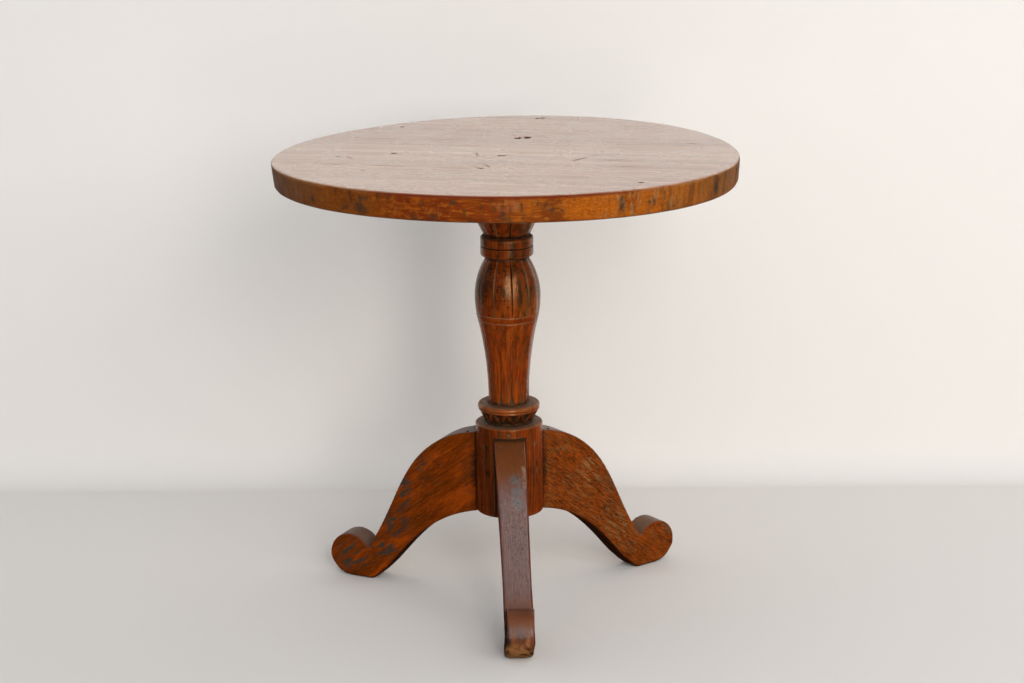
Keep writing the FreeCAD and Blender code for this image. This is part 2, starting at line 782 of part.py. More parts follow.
def make_leg_blank(name, reach):
    """Leg with its dovetail tongue, with its scroll centred at a reach along +X."""
    body = new_body(name)
    shoulder = f"({SEAT} + dims.joint_gap)"
    root_top = (shoulder, LEG_TOP)
    root_bottom = (shoulder, LEG_BOTTOM)
    shin = (f"({reach} - dims.shin_setback)", "dims.shin_height")
    calf = (f"({reach} - dims.calf_setback)", "dims.calf_height")
    notch = (
        f"({reach} + dims.scroll_radius * cos(dims.notch_angle_deg))",
        "(dims.scroll_radius + dims.scroll_radius * sin(dims.notch_angle_deg))",
    )
    toe = (f"({reach} + dims.scroll_radius)", "dims.scroll_radius")
    ball = (reach, "0")
    heel = (f"({reach} - dims.sole_length)", "0")
    padded(body, name + "_side", "XZ_Plane", root_bottom, [
        {
            "to": calf,
            "leave": handle(root_bottom, "dims.under_slope_deg", "dims.under_pull"),
            "arrive": handle(calf, "dims.calf_slope_deg", "-dims.calf_upper_pull"),
        },
        {
            "to": heel,
            "leave": handle(calf, "dims.calf_slope_deg", "dims.calf_lower_pull"),
            "arrive": handle(heel, "dims.heel_slope_deg", "-dims.heel_pull"),
        },
        ball,
        {"to": toe, "radius": "dims.scroll_radius", "turn": "left"},
        {"to": notch, "radius": "dims.scroll_radius", "turn": "left"},
        {
            "to": shin,
            "leave": handle(notch, "dims.notch_slope_deg", "-dims.notch_pull"),
            "arrive": handle(shin, "dims.shin_slope_deg", "dims.shin_lower_pull"),
        },
        {
            "to": root_top,
            "leave": handle(shin, "dims.shin_slope_deg", "-dims.shin_upper_pull"),
            "arrive": handle(root_top, "dims.knee_slope_deg", "dims.knee_pull"),
        },
    ], "dims.leg_root_thickness", midplane=True)
    half_root = "dims.leg_root_thickness / 2"
    half_foot = "dims.leg_foot_thickness / 2"
    past_toe = f"{toe[0]} + {CLEAR}"
    tapers = []
    for hand in ("", "-"):
        tapers.append((
            (shoulder, f"{hand}({half_root})"),
            [
                (toe[0], f"{hand}({half_foot})"),
                (past_toe, f"{hand}({half_foot})"),
                (past_toe, f"{hand}({half_root} + {CLEAR})"),
                (shoulder, f"{hand}({half_root} + {CLEAR})"),
            ],
        ))
    pocketed(body, name + "_taper", "XY_Plane", tapers, DRUM_TOP, forward=True)
    start, steps = tongue_outline("0")
    padded(
        body, name + "_tongue", "XY_Plane", start, steps,
        f"{TONGUE_TOP} - {DRUM_BOTTOM}", offset=placed(0, 0, DRUM_BOTTOM),
    )
    return body


# Nails: a pair for each leg, slanting from its top into the drum's cheeks
def make_nail(name, gap, clear):
    """Nail, or with a gap its hole; points down, with the head's face at the origin."""
    head = f"(dims.nail_head_radius + {gap})"
    shank = f"(dims.nail_radius + {gap})"
    body = new_body(name)
    turned(body, name + "_turning", ("0", clear), [
        ("0", f"-dims.nail_length - {gap}"),
        (shank, "dims.nail_point - dims.nail_length"),
        (shank, "-dims.nail_head_height"),
        (head, "-dims.nail_head_height"),
        (head, clear),
    ])
    return body


NAIL_REACH = f"({SEAT} + dims.nail_setback)"
NAIL_LEVEL = f"({LEG_TOP} - dims.nail_setback * tan(dims.knee_slope_deg) - dims.nail_sink)"
NAIL_TURN = "rotationy(dims.nail_tilt_deg)"
NAIL_PAIR = [placed(NAIL_REACH, f"{hand}dims.nail_side", NAIL_LEVEL, NAIL_TURN) for hand in ("-", "")]
nail = make_nail("nail", "0", "0")
nail_bore = make_nail("nail_bore", "dims.nail_gap", CLEAR)
nail_bores = copies("nail_bores", nail_bore, NAIL_PAIR)
leg_patterns = {}
for kind, reach in {"side": "dims.scroll_reach", "front": "dims.front_scroll_reach"}.items():
    blank = make_leg_blank(kind + "_leg_blank", reach)
    leg_patterns[kind] = combined("Part::Cut", kind + "_leg_pattern", blank, nail_bores)

# The two side legs are alike, the front one is shorter, and each is turned to its own direction
legs = []
for side, turn in LEG_TURNS.items():
    pattern = leg_patterns.get(side, leg_patterns["side"])
    legs.append(copies("leg_" + side, pattern, [about_axis(turn)]))
all_nails = [f"{about_axis(turn)} * {place}" for turn in LEG_TURNS.values() for place in NAIL_PAIR]
leg_nails = copies("leg_nails", nail, all_nails)
drum_bores = copies("drum_bores", nail_bore, all_nails)
base_block = combined("Part::Cut", "base_block", block, drum_bores)

PIECES = boards + legs + [
    board_dowels, bearer, bearer_screws, column, head_wedge, foot_wedge, base_block, leg_nails,
]

doc.recompute()
for item in doc.Objects:
    if "Invalid" in item.State or "Error" in item.State:
        raise RuntimeError(f"{item.Label} did not build: {item.State}")
for piece in PIECES:
    if piece.Shape.isNull() or not piece.Shape.isValid():
        raise RuntimeError(f"{piece.Label} has no valid shape")

os.makedirs("parts", exist_ok=True)
for piece in PIECES:
    piece.Shape.exportStep(f"parts/{piece.Label}.step")
    print(f"{piece.Label}: {len(piece.Shape.Solids)} solids, {piece.Shape.Volume / 1000:.1f} cm3")
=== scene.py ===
# Looks of the wine table: carved and worn wood, its finishes, a plain studio and the camera.
# Sizes are written in millimetres and turned into the scene's metres by MM.
import math

import bmesh
import bpy
import numpy as np
from mathutils import Matrix, Vector, noise


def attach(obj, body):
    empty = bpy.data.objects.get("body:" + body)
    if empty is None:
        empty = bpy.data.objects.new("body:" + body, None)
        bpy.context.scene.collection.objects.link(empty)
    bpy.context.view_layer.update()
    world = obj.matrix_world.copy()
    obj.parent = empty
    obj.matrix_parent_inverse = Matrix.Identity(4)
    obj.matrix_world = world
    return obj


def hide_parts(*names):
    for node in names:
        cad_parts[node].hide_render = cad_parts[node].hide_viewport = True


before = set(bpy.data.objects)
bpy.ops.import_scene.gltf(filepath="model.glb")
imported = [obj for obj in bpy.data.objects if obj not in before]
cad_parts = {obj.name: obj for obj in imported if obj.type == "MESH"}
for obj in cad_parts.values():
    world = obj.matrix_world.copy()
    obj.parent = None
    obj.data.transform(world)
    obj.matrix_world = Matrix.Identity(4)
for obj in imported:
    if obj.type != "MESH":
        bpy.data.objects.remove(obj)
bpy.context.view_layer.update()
MM = 0.001

# Levels above the floor
DRUM_BOTTOM = 127.0
HOUSING_TOP = 237.5
DRUM_TOP = 251.0
RING_TOP = 278.0
LEAF_BASE = 279.0
STEM_LEVEL = 285.0
LEAF_TIP = 308.0
LOWER_LINE = 393.5
UPPER_LINE = 402.0
BELLY = 424.0
VASE_TOP = 476.0
COLLAR_BOTTOM = 478.0
COLLAR_TOP = 506.0
NECK_TOP = 559.0
HEAD_TENON_TOP = 580.5
BOARD_BOTTOM = 581.0
BOARD_TOP = 615.0

# Radii of the turned pieces and of the top
STEM_RADIUS = 27.2
BELLY_RADIUS = 43.9
VASE_NECK_RADIUS = 28.4
COLLAR_RADIUS = 35.0
DRUM_RADIUS = 45.0
RING_RADIUS = 41.0
RING_NECK_RADIUS = 31.5
NECK_LOW_RADIUS = 30.0
NECK_TOP_RADIUS = 54.0
FOOT_TENON_RADIUS = 15.0
HEAD_TENON_RADIUS = 18.0
BORE_RADIUS = 15.15
TOP_RADIUS = 305.0

# Turning and carving: small roundings, cut lines, flutes and pits
BELLY_SHARE = 0.225
NECK_LIP = 7.0
COLLAR_ROUND = 4.0
DRUM_ROUND = 2.0
LOWER_ROUND = 6.0
CUT_LINE_DEPTH = 0.9
CUT_LINE_HALF = 1.4
FLUTES = 11
FIRST_FLUTE = math.radians(-80.6)
PITS = 12
FIRST_PIT = math.radians(-79.7)

# Steps of the turned pieces along their outlines and around, and of the top around its rim
LATHE_STEP = 1.6
STEPS_PER_CUT = 24
RIM_STEPS = 512

# Direction of the boards, distance of their seams from the middle, and the legs around the drum
TOP_TURN = math.radians(-11.5)
SEAM = 104.0
SEAM_GAP = 0.2
HOUSING_HALF = 20.7
LEG_TURNS = {"front": math.radians(-87.0), "right": math.radians(36.0), "left": math.radians(156.0)}
CREST_FULLNESS = {"front": 0.0, "right": 1.6, "left": 3.6}


# Helpers for objects, meshes and their points
def colour(code):
    """Linear colour of an sRGB hex value."""
    parts = [int(code[i:i + 2], 16) / 255 for i in (1, 3, 5)]
    return tuple(p / 12.92 if p <= 0.04045 else ((p + 0.055) / 1.055) ** 2.4 for p in parts) + (1.0,)


def add(tree, kind, sockets=None, **settings):
    """Adds a node with its settings, and sets or links its sockets."""
    node = tree.nodes.new(kind)
    for name, setting in settings.items():
        setattr(node, name, setting)
    for key, given in (sockets or {}).items():
        socket = node.inputs[key]
        if isinstance(key, str):
            socket = next(s for s in node.inputs if s.name == key and s.enabled)
        if isinstance(given, bpy.types.Node):
            given = next(s for s in given.outputs if s.enabled)
        if isinstance(given, bpy.types.NodeSocket):
            tree.links.new(given, socket)
        else:
            socket.default_value = given
    return node


def new_object(name, data):
    """Object at the origin, shown in the scene."""
    made = bpy.data.objects.new(name, data)
    bpy.context.scene.collection.objects.link(made)
    return made


def new_piece(name, points, faces, edges=()):
    """Piece from points in millimetres."""
    mesh = bpy.data.meshes.new(name)
    mesh.from_pydata([Vector(p) * MM for p in points], list(edges), faces)
    mesh.update()
    return new_object(name, mesh)


def settle(piece):
    """Turns what a piece's modifiers make into its own plain mesh."""
    graph = bpy.context.evaluated_depsgraph_get()
    mesh = bpy.data.meshes.new_from_object(piece.evaluated_get(graph))
    piece.modifiers.clear()
    piece.data = mesh
    return piece


def seal(piece, distance=0.002):
    """Merges doubled points and turns all faces outwards."""
    shell = bmesh.new()
    shell.from_mesh(piece.data)
    bmesh.ops.remove_doubles(shell, verts=shell.verts, dist=distance * MM)
    bmesh.ops.dissolve_degenerate(shell, edges=shell.edges, dist=0.0005 * MM)
    bmesh.ops.recalc_face_normals(shell, faces=shell.faces)
    shell.to_mesh(piece.data)
    shell.free()
    return piece


def prism(name, plan, low, high, turn):
    """Upright block over a plan outline, turned about the column's axis."""
    cosine = math.cos(turn)
    sine = math.sin(turn)
    spun = [(x * cosine - y * sine, x * sine + y * cosine) for x, y in plan]
    count = len(plan)
    points = [(x, y, z) for z in (low, high) for x, y in spun]
    faces = [tuple(reversed(range(count))), tuple(range(count, 2 * count))]
    for i in range(count):
        j = (i + 1) % count
        faces.append((i, j, j + count, i + count))
    return seal(new_piece(name, points, faces))


def cut_away(piece, cutters):
    """Cuts the cutters' blocks out of a piece, and removes them."""
    for cutter in cutters:
        modifier = piece.modifiers.new("cut", "BOOLEAN")
        modifier.operation = "DIFFERENCE"
        modifier.solver = "EXACT"
        modifier.object = cutter
    settle(piece)
    for cutter in cutters:
        bpy.data.objects.remove(cutter)


def shade_by_angle(piece, degrees):
    """Smooth faces with crisp edges where the surface turns by more than an angle."""
    piece.data.shade_smooth()
    piece.data.set_sharp_from_angle(angle=math.radians(degrees))


def points_of(piece):
    """Points of a piece in millimetres."""
    flat = np.empty(len(piece.data.vertices) * 3, np.float32)
    piece.data.vertices.foreach_get("co", flat)
    return flat.reshape(-1, 3).astype(float) / MM


def move_points(piece, points):
    """Puts a piece's points at new places, in millimetres."""
    piece.data.vertices.foreach_set("co", (points * MM).astype(np.float32).ravel())
    piece.data.update()


def ripple(points, size, seed):
    """Smooth noise from -1 to 1 at each point, for a bump size in millimetres."""
    offset = Vector((seed * 17.3, seed * 5.1, seed * 9.7))
    return np.array([noise.noise(Vector(p) / size + offset) for p in points])


def keep_on_points(piece, name, values):
    """Stores one number for each point of a piece."""
    attribute = piece.data.attributes.get(name) or piece.data.attributes.new(name, "FLOAT", "POINT")
    attribute.data.foreach_set("value", np.asarray(values, np.float32))


def read_points(piece, name):
    """Numbers stored for the points of a piece."""
    values = np.empty(len(piece.data.vertices), np.float32)
    piece.data.attributes[name].data.foreach_get("value", values)
    return values


def edges_of(piece):
    """Both ends of every edge, and the number of edges that meet at each point."""
    mesh = piece.data
    ends = np.empty(len(mesh.edges) * 2, np.int32)
    mesh.edges.foreach_get("vertices", ends)
    a, b = ends.reshape(-1, 2).T
    count = np.bincount(ends, minlength=len(mesh.vertices))
    return a, b, np.maximum(count, 1)


def near_mean(values, a, b, count):
    """Mean of a value over the neighbours of each point."""
    return (np.bincount(a, values[b], len(count)) + np.bincount(b, values[a], len(count))) / count


def edge_sharpness(piece, rounds):
    """How far each point stands out from its neighbours, positive on arrises and negative in hollows."""
    points = points_of(piece)
    a, b, count = edges_of(piece)
    normals = np.empty(len(points) * 3, np.float32)
    piece.data.vertices.foreach_get("normal", normals)
    normals = normals.reshape(-1, 3)
    step = points[b] - points[a]
    step /= np.maximum(np.linalg.norm(step, axis=1), 1e-6)[:, None]
    out = np.bincount(a, -np.einsum("ij,ij->i", normals[a], step), len(points))
    out += np.bincount(b, np.einsum("ij,ij->i", normals[b], step), len(points))
    out /= count
    for _ in range(rounds):
        out = 0.5 * out + 0.5 * near_mean(out, a, b, count)
    return out


def leg_axes(points, side):
    """Distance of each point from the column's axis along a leg, and across the leg."""
    cosine = math.cos(LEG_TURNS[side])
    sine = math.sin(LEG_TURNS[side])
    return points[:, 0] * cosine + points[:, 1] * sine, points[:, 1] * cosine - points[:, 0] * sine


# Geometry trees for the lathe and the carving tools
def new_tree(name, counts=(), sizes=()):
    """Empty geometry tree with named inputs for its counts, its sizes and its material."""
    tree = bpy.data.node_groups.new(name, "GeometryNodeTree")
    tree.interface.new_socket("Geometry", in_out="OUTPUT", socket_type="NodeSocketGeometry")
    kinds = {"Geometry": ["Geometry"], "Int": counts, "Float": sizes, "Material": ["Material"]}
    for kind, labels in kinds.items():
        for label in labels:
            tree.interface.new_socket(label, in_out="INPUT", socket_type="NodeSocket" + kind)
    return tree, add(tree, "NodeGroupInput").outputs


def end_tree(tree, geometry, material):
    """Ends a tree with real geometry in its material."""
    real = add(tree, "GeometryNodeRealizeInstances", {"Geometry": geometry})
    painted = add(tree, "GeometryNodeSetMaterial", {"Geometry": real, "Material": material})
    add(tree, "NodeGroupOutput", {"Geometry": painted})
    return tree


def use_tree(piece, tree, values):
    """Puts a tree on a piece and sets its named inputs."""
    modifier = piece.modifiers.new(tree.name, "NODES")
    modifier.node_group = tree
    for item in tree.interface.items_tree:
        if item.in_out == "INPUT" and item.name in values:
            modifier[item.identifier] = values[item.name]


def lathe_tree():
    """Spins half an outline about the Z axis, with its steps crowded where the cuts will come."""
    tree, given = new_tree("lathe", ["Steps around", "Cuts around"], ["First cut", "Crowding"])
    steps = given["Steps around"]
    cuts = given["Cuts around"]
    rows = add(tree, "GeometryNodeAttributeDomainSize", {"Geometry": given["Geometry"]}, component="MESH")
    rows = rows.outputs["Point Count"]
    columns = add(tree, "ShaderNodeMath", {0: steps, 1: 1.0}, operation="ADD")
    grid = add(tree, "GeometryNodeMeshGrid", {"Vertices X": columns, "Vertices Y": rows}).outputs["Mesh"]
    index = add(tree, "GeometryNodeInputIndex")
    row = add(tree, "ShaderNodeMath", {0: index, 1: rows}, operation="MODULO")
    column = add(tree, "ShaderNodeMath", {0: index, 1: rows}, operation="DIVIDE")
    column = add(tree, "ShaderNodeMath", {0: column}, operation="FLOOR")
    here = add(tree, "GeometryNodeInputPosition")
    outline = add(tree, "GeometryNodeSampleIndex", {
        "Geometry": given["Geometry"], "Value": here, "Index": row,
    }, data_type="FLOAT_VECTOR", domain="POINT")
    radius, _, level = add(tree, "ShaderNodeSeparateXYZ", {0: outline}).outputs
    share = add(tree, "ShaderNodeMath", {0: column, 1: steps}, operation="DIVIDE")
    lobe = add(tree, "ShaderNodeMath", {0: share, 1: cuts}, operation="MULTIPLY")
    wave = add(tree, "ShaderNodeMath", {0: lobe, 1: math.tau}, operation="MULTIPLY")
    wave = add(tree, "ShaderNodeMath", {0: wave}, operation="SINE")
    pull = add(tree, "ShaderNodeMath", {0: given["Crowding"], 1: math.tau}, operation="DIVIDE")
    pull = add(tree, "ShaderNodeMath", {0: wave, 1: pull}, operation="MULTIPLY")
    lobe = add(tree, "ShaderNodeMath", {0: lobe, 1: pull}, operation="SUBTRACT")
    turn = add(tree, "ShaderNodeMath", {0: lobe, 1: cuts}, operation="DIVIDE")
    turn = add(tree, "ShaderNodeMath", {
        0: turn, 1: math.tau, 2: given["First cut"],
    }, operation="MULTIPLY_ADD")
    place = {2: level}
    for axis, operation in enumerate(("COSINE", "SINE")):
        part = add(tree, "ShaderNodeMath", {0: turn}, operation=operation)
        place[axis] = add(tree, "ShaderNodeMath", {0: part, 1: radius}, operation="MULTIPLY")
    place = add(tree, "ShaderNodeCombineXYZ", place)
    spun = add(tree, "GeometryNodeSetPosition", {"Geometry": grid, "Position": place})
    closed = add(tree, "GeometryNodeMergeByDistance", {"Geometry": spun, "Distance": 0.002 * MM})
    smooth = add(tree, "GeometryNodeSetShadeSmooth", {"Geometry": closed})
    return end_tree(tree, smooth, given["Material"])


def distance_from_cut(tree, given):
    """Place, radius, height, and distance from the nearest of the repeated cuts, at each point."""
    here = add(tree, "GeometryNodeInputPosition")
    x, y, height = add(tree, "ShaderNodeSeparateXYZ", {0: here}).outputs
    flat = add(tree, "ShaderNodeCombineXYZ", {0: x, 1: y})
    radius = add(tree, "ShaderNodeVectorMath", {0: flat}, operation="LENGTH").outputs["Value"]
    cuts = given["Cuts around"]
    lobe = add(tree, "ShaderNodeMath", {0: y, 1: x}, operation="ARCTAN2")
    for operation, amount in (("SUBTRACT", given["First cut"]), ("DIVIDE", math.tau), ("MULTIPLY", cuts)):
        lobe = add(tree, "ShaderNodeMath", {0: lobe, 1: amount}, operation=operation)
    nearest = add(tree, "ShaderNodeMath", {0: lobe}, operation="ROUND")
    share = add(tree, "ShaderNodeMath", {0: lobe, 1: nearest}, operation="SUBTRACT")
    pitch = add(tree, "ShaderNodeMath", {0: radius, 1: math.tau}, operation="MULTIPLY")
    pitch = add(tree, "ShaderNodeMath", {0: pitch, 1: cuts}, operation="DIVIDE")
    away = add(tree, "ShaderNodeMath", {0: share, 1: pitch}, operation="MULTIPLY")
    away = add(tree, "ShaderNodeMath", {0: away}, operation="ABSOLUTE")
    return here, radius, height, share, away


def carve(tree, given, here, radius, depth, hollow):
    """Moves points towards the axis by a depth, and keeps how hollow each one became."""
    kept = add(tree, "ShaderNodeMath", {0: radius, 1: depth}, operation="SUBTRACT")
    kept = add(tree, "ShaderNodeMath", {0: kept, 1: radius}, operation="DIVIDE")
    shrink = add(tree, "ShaderNodeCombineXYZ", {0: kept, 1: kept, 2: 1.0})
    place = add(tree, "ShaderNodeVectorMath", {0: here, 1: shrink}, operation="MULTIPLY")
    before = add(tree, "GeometryNodeInputNamedAttribute", {"Name": "hollow"}, data_type="FLOAT")
    before = before.outputs["Attribute"]
    deepest = add(tree, "ShaderNodeMath", {0: before, 1: hollow}, operation="MAXIMUM")
    marked = add(tree, "GeometryNodeStoreNamedAttribute", {
        "Geometry": given["Geometry"], "Name": "hollow", "Value": deepest,
    }, data_type="FLOAT", domain="POINT")
    cut = add(tree, "GeometryNodeSetPosition", {"Geometry": marked, "Position": place})
    return end_tree(tree, cut, given["Material"])


def flute_tree():
    """Repeated lines cut along a turned piece with a pointed tool, and the wood rounded between them."""
    tree, given = new_tree("flutes", ["Cuts around"], [
        "First cut", "Width", "Depth", "Rounding", "Low end", "High end",
    ])
    here, radius, height, share, away = distance_from_cut(tree, given)
    half = add(tree, "ShaderNodeMath", {0: given["Width"], 1: 0.5}, operation="MULTIPLY")
    line = add(tree, "ShaderNodeMapRange", {"Value": away, "From Min": half, "From Max": 0.0})
    above = add(tree, "ShaderNodeMath", {0: height, 1: given["Low end"]}, operation="SUBTRACT")
    below = add(tree, "ShaderNodeMath", {0: given["High end"], 1: height}, operation="SUBTRACT")
    inside = add(tree, "ShaderNodeMath", {0: above, 1: below}, operation="MINIMUM")
    ends = add(tree, "ShaderNodeMapRange", {"Value": inside, "From Min": 0.0, "From Max": 5.0 * MM})
    hand = add(tree, "ShaderNodeTexNoise", {"Vector": here, "Scale": 1 / (30 * MM), "Detail": 1.0})
    hand = add(tree, "ShaderNodeMapRange", {
        "Value": hand, "From Min": 0.3, "From Max": 0.7, "To Min": 0.6, "To Max": 1.2,
    })
    hollow = add(tree, "ShaderNodeMath", {0: line, 1: ends}, operation="MULTIPLY")
    depth = add(tree, "ShaderNodeMath", {0: hollow, 1: hand}, operation="MULTIPLY")
    depth = add(tree, "ShaderNodeMath", {0: depth, 1: given["Depth"]}, operation="MULTIPLY")
    swell = add(tree, "ShaderNodeMath", {0: share, 1: math.tau}, operation="MULTIPLY")
    swell = add(tree, "ShaderNodeMath", {0: swell}, operation="COSINE")
    swell = add(tree, "ShaderNodeMapRange", {"Value": swell, "From Min": -1.0, "From Max": 1.0})
    swell = add(tree, "ShaderNodeMath", {0: swell, 1: ends}, operation="MULTIPLY")
    swell = add(tree, "ShaderNodeMath", {0: swell, 1: given["Rounding"]}, operation="MULTIPLY")
    depth = add(tree, "ShaderNodeMath", {0: depth, 1: swell}, operation="ADD")
    return carve(tree, given, here, radius, depth, hollow)


def notch_tree():
    """Repeated three-cornered cuts, each from a base level to a tip level, sloping in from their edges."""
    tree, given = new_tree("three_cornered_cuts", ["Cuts around"], [
        "First cut", "Half width", "Base level", "Tip level", "Depth", "Slope",
    ])
    here, radius, height, _, away = distance_from_cut(tree, given)
    base = given["Base level"]
    rise = add(tree, "ShaderNodeMath", {0: given["Tip level"], 1: base}, operation="SUBTRACT")
    along = add(tree, "ShaderNodeMath", {0: height, 1: base}, operation="SUBTRACT")
    along = add(tree, "ShaderNodeMath", {0: along, 1: rise}, operation="DIVIDE")
    narrow = add(tree, "ShaderNodeMath", {0: 1.0, 1: along}, operation="SUBTRACT")
    side = add(tree, "ShaderNodeMath", {0: given["Half width"], 1: narrow}, operation="MULTIPLY")
    side = add(tree, "ShaderNodeMath", {0: side, 1: away}, operation="SUBTRACT")
    hand = add(tree, "ShaderNodeTexNoise", {"Vector": here, "Scale": 1 / (8 * MM), "Detail": 1.0})
    hand = add(tree, "ShaderNodeMapRange", {"Value": hand, "To Min": -2.0 * MM, "To Max": 2.0 * MM})
    side = add(tree, "ShaderNodeMath", {0: side, 1: hand}, operation="ADD")
    length = add(tree, "ShaderNodeMath", {0: rise}, operation="ABSOLUTE")
    from_base = add(tree, "ShaderNodeMath", {0: along, 1: length}, operation="MULTIPLY")
    inside = add(tree, "ShaderNodeMath", {0: side, 1: from_base}, operation="MINIMUM")
    inside = add(tree, "ShaderNodeMath", {0: inside, 1: 0.0}, operation="MAXIMUM")
    depth = add(tree, "ShaderNodeMath", {0: inside, 1: given["Slope"]}, operation="MULTIPLY")
    depth = add(tree, "ShaderNodeMath", {0: depth, 1: given["Depth"]}, operation="MINIMUM")
    hollow = add(tree, "ShaderNodeMath", {0: depth, 1: given["Depth"]}, operation="DIVIDE")
    return carve(tree, given, here, radius, depth, hollow)


# Finishes
def new_material(name):
    """Empty node material, with its tree and the piece's own coordinates."""
    material = bpy.data.materials.new(name)
    material.use_nodes = True
    tree = material.node_tree
    tree.nodes.clear()
    return material, tree, add(tree, "ShaderNodeTexCoord").outputs["Object"]


def wood_space(tree, place, turn, shift):
    """Coordinates turned so that the grain runs along X."""
    return add(tree, "ShaderNodeMapping", {"Vector": place, "Rotation": turn, "Location": shift})


def figure(tree, space, length, width, detail=3.0, height=None):
    """Noise of a length along X, a width across it, and a height if that differs, in millimetres."""
    drawn = add(tree, "ShaderNodeMapping", {
        "Vector": space, "Scale": (1000 / length, 1000 / width, 1000 / (height or width)),
    })
    return add(tree, "ShaderNodeTexNoise", {
        "Vector": drawn, "Scale": 1.0, "Detail": detail, "Roughness": 0.6,
    }).outputs[0]


def where(tree, *bands):
    """Mask of the places where all bands hold: a band is a value with two limits, a mask or a strength."""
    joined = None
    for band in bands:
        if isinstance(band, tuple):
            value, low, high = band
            band = add(tree, "ShaderNodeMapRange", {
                "Value": value, "From Min": low, "From Max": high,
            }, interpolation_type="SMOOTHSTEP").outputs[0]
        if joined is None:
            joined = band
        else:
            joined = add(tree, "ShaderNodeMath", {0: joined, 1: band}, operation="MULTIPLY").outputs[0]
    return joined


def lay(tree, under, code, *bands):
    """Lays a colour over another one where all bands hold."""
    mask = where(tree, *bands)
    return add(tree, "ShaderNodeMix", {0: mask, 6: under, 7: colour(code)}, data_type="RGBA").outputs[2]


def layers(tree, paint, rows):
    """Lays colours over a paint one after another: a row is a colour and its bands."""
    for code, *bands in rows:
        paint = lay(tree, paint, code, *bands)
    return paint


def marks(tree, space, places, soft):
    """Mask of single marks: a place and half sizes in millimetres, and a turn in degrees if there is one."""
    joined = 0.0
    for place, halves, *turn in places:
        near = add(tree, "ShaderNodeMapping", {
            "Vector": space, "Location": Vector(place) * MM, "Scale": Vector(halves) * MM,
            "Rotation": (0, 0, math.radians(turn[0] if turn else 0)),
        }, vector_type="TEXTURE")
        away = add(tree, "ShaderNodeVectorMath", {0: near}, operation="LENGTH").outputs["Value"]
        mark = where(tree, (away, 1.0, soft))
        joined = add(tree, "ShaderNodeMath", {0: joined, 1: mark}, operation="MAXIMUM").outputs[0]
    return joined


def frayed(tree, space, size, reach):
    """Coordinates pushed about by noise, so that a mark drawn with them has a ragged edge."""
    push = add(tree, "ShaderNodeTexNoise", {"Vector": space, "Scale": 1 / (size * MM), "Detail": 3.0})
    push = add(tree, "ShaderNodeVectorMath", {
        0: push.outputs["Color"], 1: (0.5, 0.5, 0.5),
    }, operation="SUBTRACT")
    return add(tree, "ShaderNodeVectorMath", {
        0: push, 1: (reach * MM,) * 3, 2: space,
    }, operation="MULTIPLY_ADD").outputs["Vector"]


def grained(tree, wood, pale, middle, dark, ring, contrast):
    """Teak's own pattern: growth rings, streaks, fibres and open pores; gives its colour and its height."""
    drift = figure(tree, wood, 600, 40, 1.0)
    fibre = figure(tree, wood, 80, 1.8, 4.0)
    band = figure(tree, wood, 260, 6.5)
    # Real pores are about 0.3 mm wide; they are drawn at 0.9 mm so that they can be seen
    pore = figure(tree, wood, 13, 0.9, 1.0)
    across = add(tree, "ShaderNodeMapping", {"Vector": wood, "Scale": (0.05, 1.0, 1.0)})
    radius = add(tree, "ShaderNodeVectorMath", {0: across}, operation="LENGTH").outputs["Value"]
    radius = add(tree, "ShaderNodeMath", {0: drift, 1: 14 * MM, 2: radius}, operation="MULTIPLY_ADD")
    rings = add(tree, "ShaderNodeMath", {0: radius, 1: ring * MM}, operation="DIVIDE")
    rings = add(tree, "ShaderNodeMath", {0: rings}, operation="FRACT").outputs[0]
    paint = lay(tree, colour(middle), pale, (fibre, 0.36, 0.66))
    paint = lay(tree, paint, dark, (rings, 0.3, 0.8), (rings, 1.0, 0.86), 0.55 * contrast)
    paint = lay(tree, paint, dark, (band, 0.53, 0.74), 0.8 * contrast)
    open_pore = where(tree, (pore, 0.6, 0.72))
    paint = lay(tree, paint, dark, open_pore, 0.55 * contrast)
    height = add(tree, "ShaderNodeMath", {0: open_pore, 1: -0.8, 2: fibre}, operation="MULTIPLY_ADD")
    return paint, height


def crazed(tree, place, size, share, height):
    """Height of varnish with a net of fine cracks, in cells of a size in millimetres, over another height."""
    cells = add(tree, "ShaderNodeTexVoronoi", {
        "Vector": frayed(tree, place, 6, 3), "Scale": 1 / (size * MM),
    }, feature="DISTANCE_TO_EDGE").outputs["Distance"]
    net = where(tree, (cells, 0.0, 0.09))
    return add(tree, "ShaderNodeMath", {0: net, 1: share, 2: height}, operation="MULTIPLY_ADD").outputs[0]


# Old varnish has gone yellow, and what it mirrors is tinted by it
VARNISH_TINT = "#ffd9a0"


def coat(tree, paint, dull, rough, height, depth, shine, wax=0.0, tint=VARNISH_TINT):
    """Ends a finish: colour, roughness where it is clear and dull, relief in millimetres, shine and wax."""
    rough = add(tree, "ShaderNodeMapRange", {"Value": dull, "To Min": rough[0], "To Max": rough[1]})
    relief = add(tree, "ShaderNodeBump", {"Height": height, "Distance": depth * MM, "Strength": 0.6})
    shader = add(tree, "ShaderNodeBsdfPrincipled", {
        "Base Color": paint, "Roughness": rough, "Normal": relief, "IOR": 1.5, "Specular IOR Level": shine,
        "Specular Tint": colour(tint), "Coat Weight": wax, "Coat Roughness": 0.18,
    })
    add(tree, "ShaderNodeOutputMaterial", {"Surface": shader})


